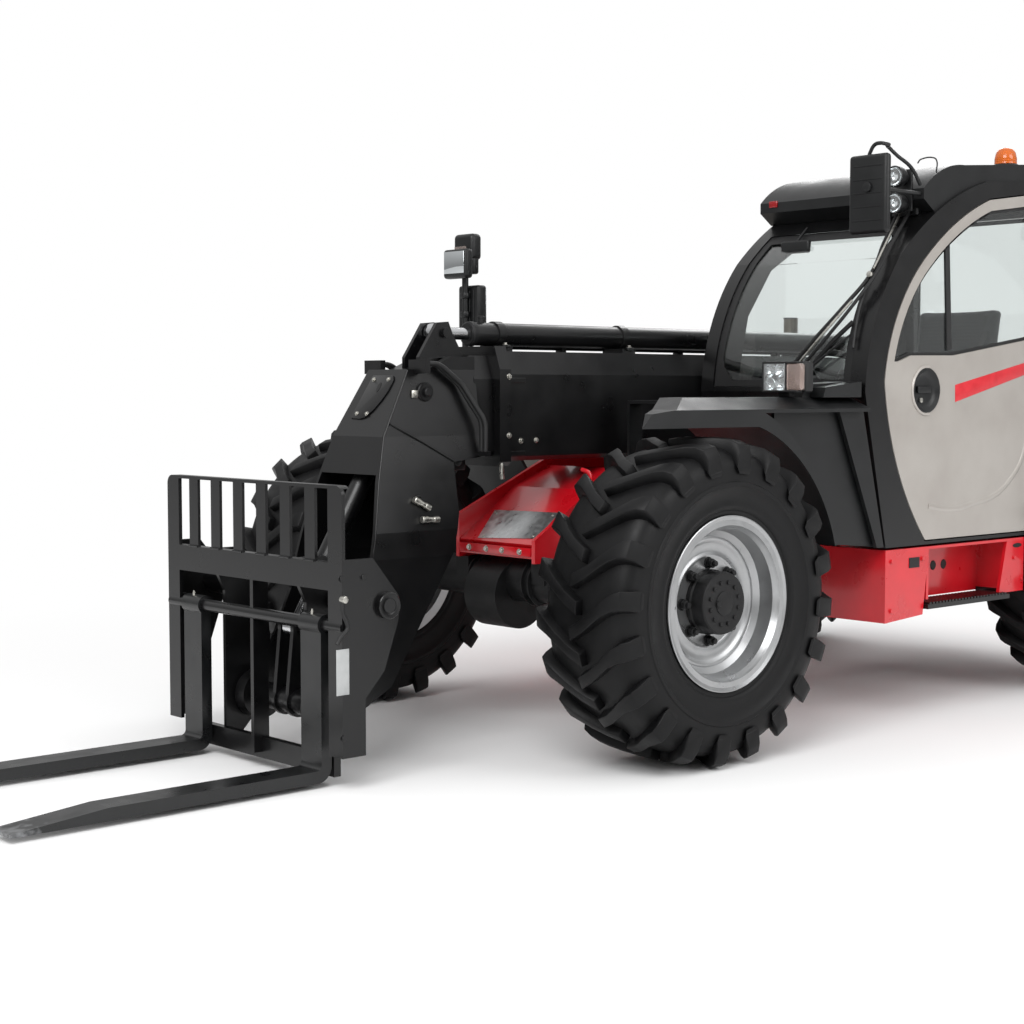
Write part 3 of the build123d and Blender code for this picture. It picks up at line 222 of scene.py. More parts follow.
# %% [markdown]
# **Plastics, rubber, glass and bright metal.**  Rubber is dull; zinc-plated fittings are bright and slightly uneven.
# %% Plastics, rubber, glass, lamps, bright metal
grained_abs = new_finish(
    "moulded_abs_dark_grey", "dark_plastic", "#141516", 0.42, ("#0F1011", "#151617", 8, 0.36, 0.46),
    (900, 0.18, 0.0006), Specular_IOR_Level=0.4)
tyre_rubber = new_finish(
    "vulcanised_tyre_rubber", "tyre_rubber", "#0E0E0F", 0.5, ("#080809", "#101011", 12, 0.4, 0.58),
    (320, 0.16, 0.0012), Specular_IOR_Level=0.22)
seal_rubber = new_finish(
    "extruded_seal_rubber", "dark_plastic", "#111112", 0.6, ("#0D0D0E", "#161617", 20, 0.52, 0.68),
    (500, 0.12, 0.0006))
tinted_glass = new_finish(
    "tinted_laminated_glass", "clear_glass", "#EDF1F0", 0.02, Transmission_Weight=1.0, IOR=1.45)
lamp_lens = new_finish(
    "clear_polycarbonate_lens", "lamp_clear", "#F2F4F4", 0.08, (), (140, 0.25, 0.0008),
    Transmission_Weight=0.85, IOR=1.58)
amber_lens = new_finish(
    "amber_polycarbonate_lens", "lamp_amber", "#F0761A", 0.12, (), (160, 0.25, 0.0008),
    Transmission_Weight=0.4, IOR=1.58)
red_lens = new_finish(
    "red_polycarbonate_lens", "lamp_red", "#A80F14", 0.14, (), (160, 0.25, 0.0008),
    Transmission_Weight=0.3, IOR=1.58)
indicator_lens = new_finish(
    "clear_indicator_lens_over_amber_bulb", "lamp_amber", "#D8C4BC", 0.1, (), (160, 0.3, 0.0008),
    Transmission_Weight=0.75, IOR=1.5)
chrome_rod = new_finish(
    "hard_chromed_rod", "rod_chrome", "#C9CACC", 0.12, ("#BFC0C2", "#D2D3D5", 30, 0.09, 0.16), Metallic=1.0)
stainless = new_finish(
    "brushed_stainless_exhaust", "exhaust_steel", "#8E8A84", 0.38, ("#7E7466", "#99948C", 12, 0.3, 0.5),
    (300, 0.12, 0.0006), Metallic=1.0)
zinc_plate = new_finish(
    "zinc_plated_steel", "rod_chrome", "#B9B7B0", 0.28, ("#A8A69F", "#C6C4BD", 60, 0.22, 0.4), Metallic=0.95)
mirror_silver = new_finish(
    "silvered_mirror_glass", "rod_chrome", "#D8DCDE", 0.03, ("#D2D6D8", "#DDE1E3", 3, 0.02, 0.05), Metallic=1.0)
blank_label = new_finish(
    "blank_label_film", "rod_chrome", "#A9ABAB", 0.5, ("#A2A4A4", "#B0B2B2", 25, 0.44, 0.56))
brushed_plate = new_finish(
    "brushed_stainless_plate", "rod_chrome", "#B7B9BA", 0.34, ("#A6A8A9", "#C5C7C8", 40, 0.25, 0.45),
    (260, 0.15, 0.0004), Metallic=0.9)
print("other finishes ready")

# %% [markdown]
# ** Cloth and the forks' painted highlight.** Woven cloth is made of two crossed sets of waves. The forks' lacquer turns a
# lighter metallic grey towards their tips, a painted highlight for the sky reflected on them, where a noise added to
# the distance ahead passes a limit.
# %% Woven cloth and the forks' painted highlight
seat_cloth = new_finish("woven_seat_cloth", "seat_cloth", "#2A2B2E", 0.85, Sheen_Weight=0.3)
threads = [
    add_node(seat_cloth, "TexWave", {"Vector": whereabouts(seat_cloth), "Scale": 110, "Distortion": 0.6},
             bands_direction=direction).outputs["Fac"]
    for direction in ("X", "Y")]
woven = add_node(seat_cloth, "Math", {0: threads[0], 1: threads[1]}, operation="MAXIMUM")
colour_ramp(seat_cloth, woven.outputs["Value"], "#1A1B1D", "#3A3C40")
bump(seat_cloth, woven.outputs["Value"], 0.5, 0.001)
# painted highlight: the forks turn a lighter metallic grey towards their tips, standing in for the bright sky
# reflected on them
fork_spot = whereabouts(fork_enamel)
fork_axes = add_node(fork_enamel, "SeparateXYZ", {"Vector": fork_spot})
sheen_noise = add_node(fork_enamel, "TexNoise", {"Vector": fork_spot, "Scale": 26, "Detail": 8})
along = add_node(fork_enamel, "MapRange", {
    "Value": fork_axes.outputs["X"], "From Min": front_axle + 2.2, "From Max": front_axle + 2.62,
    "To Min": -0.3, "To Max": 0.42})
tip_sheen_mask = add_node(fork_enamel, "Math", {0: along.outputs["Result"], 1: sheen_noise.outputs["Fac"]},
                operation="ADD", use_clamp=True)
sharp = add_node(fork_enamel, "MapRange", {
    "Value": tip_sheen_mask.outputs["Value"], "From Min": 0.62, "From Max": 0.95})
paint = shader_of(fork_enamel).inputs["Base Color"].links[0].from_socket
# the painted highlight's lighter grey is mixed over the black lacquer here
sheen_colour_mix = add_node(fork_enamel, "Mix", {0: sharp.outputs["Result"], 6: paint, 7: light_of("#8E8F91")}, data_type="RGBA")
feed(fork_enamel, sheen_colour_mix.outputs[2], "Base Color")
feed(fork_enamel, sharp.outputs["Result"], "Metallic")
print("cloth and forks ready")

# %% [markdown]
# Every CAD node gets its finish by name.
# %% Finishes on the CAD nodes
smooth_under = 32  # degrees: flatter edges than this are shaded smooth
corners = ("front_left", "front_right", "rear_left", "rear_right")
nodes_in = (
    (red_enamel, "rail_left rail_right crossmembers engine_tray skirt_left counterweight"),
    (black_enamel, "cab step boom_outer boom_inner carriage"),
    (black_enamel, "telescope_barrel lift_cylinder_barrel tilt_cylinder_barrel"),
    (fork_enamel, "fork_left fork_right"),
    (chrome_rod, "telescope_rod lift_cylinder_rod tilt_cylinder_rod"),
    (grey_lacquer, "hood door"),
    (tinted_glass, "windscreen cab_glass door_glass"),
    (grained_abs, "cab_roof front_fenders rear_fenders lamp_post mirror_left"),
    (grained_abs, "seat_base console side_console steering_wheel cowl"),
    (seat_cloth, "seat_cushion seat_back"),
    (lamp_lens, "headlamp_left work_lamps"),
    (amber_lens, "beacon"),
    (red_lens, "tail_lamps"),
    (seal_rubber, "head_hoses"),
    (stainless, "exhaust"),
    (cast_iron, "driveline engine_block tow_hitch axle_front axle_rear"),
    (tyre_rubber, " ".join(f"tyre_{corner}" for corner in corners)),
    (silver_lacquer, " ".join(f"rim_{corner}" for corner in corners)),
    (cast_iron, " ".join(f"knuckle_{corner}" for corner in corners)),
)


def only(piece):
    """Makes the piece the one selected and active object."""
    bpy.ops.object.select_all(action="DESELECT")
    piece.select_set(True)
    bpy.context.view_layer.objects.active = piece


for finish, node_names in nodes_in:
    for node_name in node_names.split():
        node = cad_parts[node_name]
        node.data.materials.clear()
        node.data.materials.append(finish)
        only(node)
        bpy.ops.object.shade_smooth_by_angle(angle=math.radians(smooth_under))
print("finished", sum(len(names.split()) for finish, names in nodes_in), "nodes of", len(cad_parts))

# %% [markdown]
# **Modelling helpers.**  Each new piece starts from one of Blender's primitives, set at its real size and place and
# shaped in edit mode.  Operators act on all that is selected, so everything is deselected first, and the faces to
# work on are then picked by where they are.
# %% Modelling helpers
def start_piece(name):
    """Names the primitive that was just added and puts its place and size into its mesh."""
    piece = bpy.context.active_object
    piece.name = name
    bpy.ops.object.transform_apply(location=True, rotation=True, scale=True)
    return piece


def open_mesh(piece):
    """Enters edit mode with all of the piece selected."""
    only(piece)
    bpy.ops.object.mode_set(mode="EDIT")
    bpy.ops.mesh.select_all(action="SELECT")


def close_mesh():
    """Turns every face outwards and leaves edit mode."""
    bpy.ops.mesh.select_all(action="SELECT")
    bpy.ops.mesh.normals_make_consistent(inside=False)
    bpy.ops.object.mode_set(mode="OBJECT")


def push(way):
    """Extrudes what is selected along a vector."""
    bpy.ops.mesh.extrude_region_move(TRANSFORM_OT_translate={"value": Vector(way)})


def pick_faces(piece, test):
    """In edit mode, selects the faces whose middle and normal pass the test."""
    bpy.ops.mesh.select_mode(type="FACE")
    bpy.ops.mesh.select_all(action="DESELECT")
    mesh = bmesh.from_edit_mesh(piece.data)
    for face in mesh.faces:
        face.select_set(bool(test(face.calc_center_median(), face.normal)))
    bmesh.update_edit_mesh(piece.data)


def modify(piece, kind, **settings):
    """Adds a modifier with its settings and applies it."""
    only(piece)
    modifier = piece.modifiers.new(kind.title(), kind)
    for key, value in settings.items():
        setattr(modifier, key, value)
    bpy.ops.object.modifier_apply(modifier=modifier.name)
    return piece


def soften(piece, width, segments=2):
    """Rounds the piece's sharp edges."""
    return modify(piece, "BEVEL", width=width, segments=segments, limit_method="ANGLE", angle_limit=math.radians(30))


def block(name, low, high, edge=0.0, segments=2):
    """A block between two corners, its edges rounded if edge is given."""
    low, high = point(low), point(high)
    bpy.ops.object.select_all(action="DESELECT")
    bpy.ops.mesh.primitive_cube_add(size=1, location=(low + high) / 2, scale=[abs(v) for v in high - low])
    piece = start_piece(name)
    return soften(piece, edge, segments) if edge else piece


def rod(name, start, end, radius, sides=24, edge=0.0, segments=2):
    """A round bar between two points, its edges rounded if edge is given."""
    start, end = point(start), point(end)
    bpy.ops.object.select_all(action="DESELECT")
    turn = (end - start).to_track_quat("Z", "Y").to_euler()
    bpy.ops.mesh.primitive_cylinder_add(
        vertices=sides, radius=radius, depth=(end - start).length, location=(start + end) / 2, rotation=turn)
    piece = start_piece(name)
    return soften(piece, edge, segments) if edge else piece


def turned(name, centre, way, rows, steps=40):
    """A turned piece: its profile, rows of (radius, height along the way), is drawn point by point and spun."""
    way, centre = Vector(way).normalized(), point(centre)
    outward = way.orthogonal().normalized()
    bpy.ops.object.select_all(action="DESELECT")
    bpy.ops.mesh.primitive_plane_add(size=0.01, location=(0, 0, 0))
    piece = start_piece(name)
    open_mesh(piece)
    bpy.ops.mesh.select_mode(type="VERT")
    bpy.ops.mesh.merge(type="CENTER")
    spots = [centre + outward * radius + way * height for radius, height in rows]
    bpy.ops.transform.translate(value=spots[0])
    for before, after in zip(spots, spots[1:]):
        push(after - before)
    bpy.ops.mesh.select_all(action="SELECT")
    bpy.ops.mesh.spin(steps=steps, angle=math.tau, center=centre, axis=way)
    bpy.ops.mesh.select_all(action="SELECT")
    bpy.ops.mesh.remove_doubles(threshold=0.00005)
    close_mesh()
    return piece


def copied(piece, name, matrix):
    """A copy with its own mesh, moved by the matrix."""
    copy = linked(name, piece.data.copy())
    copy.data.transform(matrix)
    if matrix.determinant() < 0:
        open_mesh(copy)
        close_mesh()
    return copy


def joined(name, *pieces):
    """Joins pieces into one object."""
    only(pieces[0])
    for piece in pieces[1:]:
        piece.select_set(True)
    bpy.ops.object.join()
    pieces[0].name = name
    return pieces[0]


def stack(name, foot, way, rows):
    """Round bars on one line from foot: rows of (start, end, radius, sides, edge, segments)."""
    foot, way = point(foot), Vector(way).normalized()
    return joined(name, *[rod(name, foot + way * start, foot + way * end, *sizes) for start, end, *sizes in rows])


def dress(finish, body, *pieces, angle=smooth_under):
    """Gives finished pieces their material, smooth faces and their body."""
    for piece in pieces:
        if not piece.data.materials:
            piece.data.materials.append(finish)
        only(piece)
        bpy.ops.object.shade_smooth_by_angle(angle=math.radians(angle))
        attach(piece, body)
    return pieces[0]


print("modelling helpers ready")

# %% [markdown]
# **Tyres.**  The real tyre carries two rows of twenty rubber bars.  Each bar runs from the middle of the tread out to
# the shoulder, bends there, and ends in a broad slanted face on the sidewall.  One bar is drawn as a block that is
# extruded six times along the tread, its rings are set by their distance along and across the tread, and the flat
# bar is then wrapped round the tyre.
# %% One tread bar
tyre_low, tyre_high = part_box("tyre_front_left")
tyre_radius = (tyre_high.z - tyre_low.z) / 2
tyre_half_width = (tyre_high.y - tyre_low.y) / 2
tread_radius = tyre_radius - 0.038
bar_rings = (  # across the tread, along it, top radius, half width at top, base radius, half width at base
    (-0.02, 0.08, tyre_radius, 0.025, tread_radius - 0.014, 0.034),
    (0.045, 0.046, tyre_radius, 0.024, tread_radius - 0.012, 0.033),
    (0.1, 0.006, tyre_radius - 0.001, 0.024, tread_radius - 0.012, 0.034),
    (0.145, -0.028, tyre_radius - 0.003, 0.027, tread_radius - 0.016, 0.037),
    (0.184, -0.05, tyre_radius - 0.008, 0.032, tread_radius - 0.03, 0.043),
    (0.214, -0.06, tyre_radius - 0.022, 0.036, tread_radius - 0.058, 0.048),
    (tyre_half_width, -0.062, tyre_radius - 0.062, 0.038, tread_radius - 0.08, 0.049),
    (tyre_half_width - 0.002, -0.064, 0.5, 0.029, 0.488, 0.036),
)
ring_gap = 0.01  # between the rings of the flat bar, before they are set
bar = block("tread_bar", Vector((-0.02, -ring_gap, 0)), Vector((0.02, 0, 0.04)))
bpy.ops.object.mode_set(mode="EDIT")
for ring in bar_rings[2:]:
    pick_faces(bar, lambda middle, normal: normal.y > 0.9)
    push((0, ring_gap, 0))
bpy.ops.object.mode_set(mode="OBJECT")
for vertex in bar.data.vertices:
    across, along, top, half_top, base, half_base = bar_rings[round(vertex.co.y / ring_gap) + 1]
    on_top = vertex.co.z > 0.02
    half = half_top if on_top else half_base
    turn = (along + math.copysign(half, vertex.co.x)) / tyre_radius
    reach = top if on_top else base
    vertex.co = Vector((reach * math.sin(turn), across, reach * math.cos(turn)))
soften(bar, 0.004, 2)
print("one bar has", len(bar.data.polygons), "faces")

# %% A whole tyre at the model's origin, its axle along Y
origin = Vector((0, 0, 0))
bars_a_side = 20
side_rows = (  # radius, distance from the middle plane
    (0.3015, 0.187), (0.334, 0.194), (0.345, 0.2), (0.352, 0.199), (0.356, 0.205), (0.372, 0.21), (0.38, 0.207),
    (0.41, 0.214), (0.44, 0.219), (0.444, 0.223), (0.458, 0.224), (0.462, 0.22), (0.5, 0.219), (0.53, 0.212),
    (0.556, 0.198), (0.574, 0.172), (tread_radius - 0.005, 0.14), (tread_radius + 0.003, 0.06),
)
rows = [*side_rows, *[(radius, -across) for radius, across in reversed(side_rows)]]
carcass = turned("tyre_carcass", origin, leftwards, rows, 96)
pitch = math.tau / bars_a_side
mirrored = copied(bar, "bar", Matrix.Rotation(pitch / 2, 4, "Y") @ Matrix.Diagonal((1, -1, 1, 1)))
bars = [copied(pattern, "bar", Matrix.Rotation(pitch * i, 4, "Y")) for pattern in (bar, mirrored)
        for i in range(bars_a_side)]
tyre = joined("treaded_tyre", carcass, *bars)
bpy.data.objects.remove(bar)
bpy.data.objects.remove(mirrored)
print("tyre", len(tyre.data.polygons), "faces")

# %% [markdown]
# **Hub and nuts.**  The planetary hub is a black casting that stands out of the disc, with a ring of small bolts on
# its cover; eight big wheel nuts sit round it.
# %% Hub cover, nuts, valve and rim face of a wheel whose outer face looks towards +Y
def ring_spot(turn, radius, across):
    """A point of a circle round the axle."""
    return Vector((radius * math.sin(turn), across, radius * math.cos(turn)))


hub_rows = ((0.0, 0.1785), (0.094, 0.1785), (0.1, 0.1792), (0.113, 0.1785), (0.1175, 0.174), (0.1195, 0.166),
            (0.1185, 0.118), (0.124, 0.112), (0.124, 0.0905))
hub_bolts = 12
bolt_spots = [Matrix.Rotation(math.tau * (i + 0.5) / hub_bolts, 4, "Y") @ Vector((0.08, 0.178, 0))
              for i in range(hub_bolts)]
hub = joined(
    "hub_cover", turned("hub_cover", origin, leftwards, hub_rows, 64),
    *[rod("hub_bolt", spot, spot + Vector((0, 0.007, 0)), 0.0085, 6, 0.0012, 1) for spot in bolt_spots],
    rod("hub_filler", Vector((0.035, 0.178, 0)), Vector((0.035, 0.186, 0)), 0.014, 6, 0.0015, 1),
    rod("hub_boss", Vector((0, 0.178, 0)), Vector((0, 0.1815, 0)), 0.046, 48, 0.0015))
nut_rows = ((0, 0.006, 0.0225, 32, 0.0012, 1), (0.006, 0.03, 0.0185, 6, 0.002), (0.03, 0.044, 0.0105, 20, 0.0015, 1))
nuts = joined("wheel_nuts", *[stack("nut", ring_spot(math.tau * i / 8, 0.1475, 0.094), leftwards, nut_rows)
                              for i in range(8)])
valve = joined("valve", rod("stem", Vector((0.262, 0.118, 0)), Vector((0.252, 0.15, 0)), 0.004, 12),
               rod("cap", Vector((0.2525, 0.148, 0)), Vector((0.2495, 0.158, 0)), 0.006, 12))
ridges = []
for i in range(3):
    start, crest = 0.176 - 0.014 * i, 0.2915 - 0.002 * i
    ridges += [(crest, start), (crest - 0.006, start - 0.004), (crest - 0.006, start - 0.006), (crest, start - 0.01)]
liner_rows = (
    (0.3335, 0.1995), (0.3335, 0.203), (0.33, 0.2045), (0.326, 0.203), (0.32, 0.201), (0.304, 0.196),
    (0.2955, 0.186), *ridges, (0.286, 0.13), (0.279, 0.114), (0.272, 0.104), (0.264, 0.096), (0.26, 0.0935),
    (0.256, 0.0975), (0.25, 0.102), (0.242, 0.104), (0.234, 0.1025), (0.227, 0.0985), (0.221, 0.0945),
    (0.196, 0.0935), (0.186, 0.0945), (0.18, 0.0985), (0.176, 0.099), (0.17, 0.096), (0.164, 0.0945),
    (0.123, 0.094), (0.123, 0.0905))
liner = turned("rim_face", origin, leftwards, liner_rows, 96)
print("hub", len(hub.data.polygons), "nuts", len(nuts.data.polygons))

# %% Four wheels dressed
patterns = ((hub, "hub_cover", cast_iron, 30), (nuts, "wheel_nuts", cast_iron, 30),
            (valve, "tyre_valve", cast_iron, 30), (liner, "rim_face", silver_lacquer, 38))
for corner in corners:
    low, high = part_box(f"rim_{corner}")
    centre = Matrix.Translation((low + high) / 2)
    facing = centre @ Matrix.Diagonal((1, math.copysign(1, low.y), 1, 1))
    wheel_tyre = copied(tyre, f"treaded_tyre_{corner}", centre)
    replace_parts(dress(tyre_rubber, f"wheel_{corner}", wheel_tyre, angle=40), f"tyre_{corner}")
    for pattern, name, finish, angle in patterns:
        dress(finish, f"wheel_{corner}", copied(pattern, f"{name}_{corner}", facing), angle=angle)
for pattern in (tyre, hub, nuts, valve, liner):
    bpy.data.objects.remove(pattern)
print("wheels dressed")

# %% [markdown]
# **More helpers.**  Hoses, wires and wiper arms are tubes along a smooth line, plates are drawn corner by corner and
# pushed out to their thickness, and seals are cut from the skin of the glass they hold.
# %% Tube, plate, bolt and seal helpers
def tube(name, points, radius, smooth=True, rounds=3):
    """A round bar or hose along a line through the points."""
    line = bpy.data.curves.new(name, "CURVE")
    line.dimensions = "3D"
    line.bevel_depth = radius
    line.bevel_resolution = rounds
    line.use_fill_caps = True
    line.resolution_u = 8 if smooth else 1
    course = line.splines.new("BEZIER")
    course.bezier_points.add(len(points) - 1)
    for knot, spot in zip(course.bezier_points, points):
        knot.co = point(spot)
        knot.handle_left_type = knot.handle_right_type = "AUTO" if smooth else "VECTOR"
    only(linked(name, line))
    bpy.ops.object.convert(target="MESH")
    return bpy.context.active_object


def sheet(name, spots, faces, depth):
    """Faces between the points, pushed out by the vector depth."""
    mesh = bpy.data.meshes.new(name)
    mesh.from_pydata([point(spot) for spot in spots], [], faces)
    piece = linked(name, mesh)
    open_mesh(piece)
    push(depth)
    close_mesh()
    return piece


def plate(name, spots, depth, edge=0.0015):
    """A flat plate: its corners in order, pushed out by the vector depth, with softened edges."""
    piece = sheet(name, spots, [range(len(spots))], depth)
    return soften(piece, edge) if edge else piece


def bolt(name, spot, way, radius=0.009, height=0.008):
    """A hexagon head on its washer, standing on spot and looking along way."""
    washer = (0, height * 0.25, radius * 1.35, 24, height * 0.06, 1)
    return stack(name, spot, way, (washer, (height * 0.25, height, radius, 6, height * 0.12, 1)))


def bolts(name, spots, way, radius, height):
    """Alike bolts on several spots."""
    return [bolt(name, spot, way, radius, height) for spot in spots]


def skin_band(node_name, name, test, width, lift):
    """A rubber band round the rim of a pane: the pane's outer skin, its inside cut away, pushed out by lift."""
    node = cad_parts[node_name]
    mesh = node.data.copy()
    mesh.transform(node.matrix_world)
    mesh.materials.clear()
    piece = linked(name, mesh)
    open_mesh(piece)
    bpy.ops.mesh.remove_doubles(threshold=0.0001)
    pick_faces(piece, lambda middle, normal: not test(normal))
    bpy.ops.mesh.delete(type="FACE")
    bpy.ops.mesh.select_all(action="SELECT")
    bpy.ops.mesh.inset(thickness=width, use_boundary=True, use_even_offset=True)
    bpy.ops.mesh.delete(type="FACE")
    bpy.ops.mesh.select_all(action="SELECT")
    bpy.ops.mesh.extrude_region_shrink_fatten(TRANSFORM_OT_shrink_fatten={"value": lift})
    close_mesh()
    return piece


print("tube, plate, bolt and seal helpers ready")

# %% [markdown]
# ** Seat.** The cushion and the backrest are padded cloth: each starts a little smaller than its solid, is remeshed
# evenly and blown up by a cloth simulation, and the cushion gets its welts afterwards.
# %% Padded seat
def padded_block(name, node_name, lean, depth):
    """A pad in the place of a CAD node: bevelled, remeshed, swollen as cloth by no more than it was shrunk."""
    shrink = 0.012
    low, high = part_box(node_name)
    half = Vector([extent / 2 - shrink for extent in high - low])
    pad = block(name, -half, half)
    if lean:
        for vertex in pad.data.vertices:
            vertex.co.x = math.copysign(depth / 2 - shrink, vertex.co.x) - vertex.co.z * lean
    soften(pad, 0.022, 3)
    modify(pad, "REMESH", mode="VOXEL", voxel_size=0.009)
    rest = [vertex.co.copy() for vertex in pad.data.vertices]
    only(pad)
    cloth = pad.modifiers.new("Cloth", "CLOTH")
    cloth.settings.quality = 5
    cloth.settings.use_pressure = True
    cloth.settings.uniform_pressure_force = 4
    cloth.settings.effector_weights.gravity = 0
    for step in range(1, 15):
        scene.frame_set(step)
    bpy.ops.object.modifier_apply(modifier="Cloth")
    scene.frame_set(1)
    for vertex, before in zip(pad.data.vertices, rest):
        move = vertex.co - before
        vertex.co = before + (move * (shrink / move.length) if move.length > shrink else move)
    pad.data.transform(Matrix.Translation((low + high) / 2))
    dress(seat_cloth, "chassis", pad, angle=60)
    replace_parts(pad, node_name)
    return pad


cushion = padded_block("seat_cushion_pad", "seat_cushion", 0, 0)
padded_block("seat_back_pad", "seat_back", 0.1738, 0.1)
low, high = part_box("seat_cushion")
for side in (0.39, 0.87):
    welt = [(low.x + 0.03, side, high.z - 0.012), ((low.x + high.x) / 2, side, high.z - 0.004),
            (high.x - 0.03, side, high.z - 0.014)]
    dress(seal_rubber, "chassis", tube("seat_welt", [Vector(spot) for spot in welt], 0.004))
print("seat padded, cushion faces", len(cushion.data.polygons))

# %% [markdown]
# **Door.**  A black finger bowl with a bright lower lip, the red stripe left blank, the bar between the two sliding
# panes, a rubber seal round the glass, and the swept rib pressed into the panel.
# %% Door furniture
door_face = 1.08
bowl = place(-1.402, door_face, 1.424)
bowl_rows = ((0, -0.0165), (0.056, -0.0165), (0.071, -0.0135), (0.082, -0.006), (0.0885, 0.0015), (0.092, 0.0045),
             (0.0965, 0.0035), (0.0985, 0.0004))
lip_turns = [math.radians(degrees) for degrees in range(-100, 101, 20)]
lip_line = [bowl + Vector((0.102 * math.cos(turn), 0.001, 0.102 * math.sin(turn))) for turn in lip_turns]
stripe = side_view(door_face, (-1.614, 1.448), (-2.154, 1.549), (-2.156, 1.494), (-1.616, 1.373))
rib = side_view(door_face - 0.0265, (-1.43, 0.925), (-1.6, 0.905), (-1.78, 0.925), (-1.94, 0.955), (-2.06, 1.02),
                (-2.15, 1.11), (-2.19, 1.22))
divider = side_view(1.056, (-1.534, 2.165), (-1.566, 2.18), (-1.6, 1.6), (-1.566, 1.597))
dress(grained_abs, "door", turned("door_bowl", bowl, leftwards, bowl_rows, 56),
      block("door_flap", bowl + Vector((-0.045, -0.015, -0.012)), bowl + Vector((0.05, -0.004, 0.018)), 0.004, 3))
dress(grey_lacquer, "door", tube("door_bowl_lip", lip_line, 0.0065), tube("door_rib", rib, 0.03, rounds=8))
lock = bowl + Vector((0.02, -0.016, -0.042))
dress(zinc_plate, "door", rod("door_lock", lock, lock + Vector((0, 0.008, 0)), 0.011, 24, 0.0015))
dress(stripe_red, "door", plate("door_stripe", stripe, (0, 0.0012, 0), 0.0004))
dress(seal_rubber, "door", plate("pane_divider", divider, (0, 0.014, 0)),
      skin_band("door_glass", "door_pane_seal", lambda normal: normal.y > 0.9, 0.014, 0.006))
cap_rows = ((0, 0.006), (0.012, 0.006), (0.0155, 0.003), (0.0158, -0.004))
for height in (1.3, 2.15):
    dress(cast_iron, "chassis", turned("hinge_cap", (-2.315, 1.15, height + 0.066), upwards, cap_rows, 24))
    hinge_spots = [(-2.356, 1.16, height + step) for step in (-0.018, 0.018)]
    dress(zinc_plate, "chassis", *bolts("hinge_bolt", hinge_spots, leftwards, 0.007, 0.006))
print("door dressed")

# %% [markdown]
# **Windscreen.**  It bulges forward, so everything on it follows the same two arcs as the cab's front.
# %% Windscreen band, wiper and mirror
def screen_ahead(height):
    """Station of the cab's front face at a height: a tight arc up to 1.995 m, and a wide one above it."""
    centre, centre_height, radius = (-1.90444, 1.37566, 0.9305) if height <= 1.995 else (-2.175, 1.0, 1.38609)
    return centre + math.sqrt(radius**2 - (height - centre_height) ** 2)


def on_screen(side, height, lift):
    """A point in front of the windscreen by lift."""
    return place(screen_ahead(height) + lift, side, height)


def screen_strip(name, rows):
    """A strip printed on the windscreen: rows of (height, from side, to side)."""
    spots = [on_screen(side, height, -0.0105) for height, *sides in rows for side in sides]
    quads = [(2 * i, 2 * i + 1, 2 * i + 3, 2 * i + 2) for i in range(len(rows) - 1)]
    return sheet(name, spots, quads, (0.0022, 0, 0))


screen_foot = 1.442
heights = [screen_foot + 0.043 * i for i in range(17)]
band = joined(
    "windscreen_band",
    screen_strip("band", [(z, 0.242, 0.278 + max(0.0, 0.1 - (z - screen_foot)) * 0.9) for z in heights]),
    screen_strip("band", [(z, 0.958, 0.998) for z in heights]),
    screen_strip("band", [(z, 0.278, 0.958) for z in (2.088, 2.109, 2.129)]),
    screen_strip("band", [(z, 0.278, 0.958) for z in (screen_foot, 1.456, 1.47)]))
side_band = skin_band("cab_glass", "cab_pane_seal", lambda normal: normal.y < -0.9 or normal.x < -0.9, 0.02, 0.004)
dress(seal_rubber, "chassis", band, side_band, angle=40)
wiper_runs = (  # name, radius, finish, points as (side, height, lift off the screen)
    ("wiper_arm", 0.0085, seal_rubber, ((0.899, 2.205, 0.05), (0.985, 2.046, 0.05), (1.012, 1.905, 0.052),
                                        (0.939, 1.781, 0.05), (0.824, 1.645, 0.046), (0.732, 1.545, 0.042))),
    ("wiper_link", 0.0075, seal_rubber, ((0.958, 2.205, 0.05), (1.03, 2.043, 0.05), (1.04, 1.915, 0.052),
                                         (0.985, 1.788, 0.05), (0.88, 1.644, 0.046), (0.776, 1.53, 0.042))),
    ("wiper_spring", 0.0055, zinc_plate, ((0.93, 2.19, 0.058), (1.004, 2.05, 0.06), (1.024, 1.93, 0.062))),
    ("wiper_spray_pipe", 0.0055, zinc_plate, ((0.975, 1.8, 0.058), (0.86, 1.655, 0.054), (0.765, 1.545, 0.05))),
    ("wiper_stay", 0.006, seal_rubber, ((1.006, 1.873, 0.034), (1.003, 1.801, 0.03), (1.003, 1.717, 0.024),
                                        (1.01, 1.6, 0.02))),
    ("wiper_blade", 0.01, seal_rubber, ((0.77, 1.5, 0.012), (0.8, 1.528, 0.012), (0.885, 1.623, 0.012),
                                          (0.975, 1.71, 0.012))),
    ("wiper_bridge", 0.0055, seal_rubber, ((0.8, 1.515, 0.026), (0.896, 1.585, 0.03), (0.99, 1.655, 0.026))),
)
for name, radius, finish, course in wiper_runs:
    dress(finish, "chassis", tube(name, [on_screen(*spot) for spot in course], radius))
for side in (0.899, 0.958):
    foot = on_screen(side, 2.205, 0.012)
    dress(zinc_plate, "chassis", joined(
        "wiper_shaft", rod("shaft", foot, foot + Vector((0.05, 0, 0.01)), 0.012, 24, 0.002),
        rod("cap", foot + Vector((0.045, 0, 0.009)), foot + Vector((0.058, 0, 0.012)), 0.015, 24, 0.003)))
knee = on_screen(1.022, 1.905, 0.054)
dress(zinc_plate, "chassis", rod("wiper_knee", knee, knee + Vector((0.02, 0, 0.004)), 0.013, 24, 0.002))
wiper_station = screen_ahead(2.2)
aerial = ((-1.4, 1.02, 2.395), (-1.37, 1.06, 2.405), (-1.37, 1.12, 2.405), (-1.37, 1.135, 2.395), (-1.37, 1.136, 2.34))
mirror_stalk = side_view(0.44, (-1.31, 2.09), (-1.34, 2.12), (-1.38, 2.155))
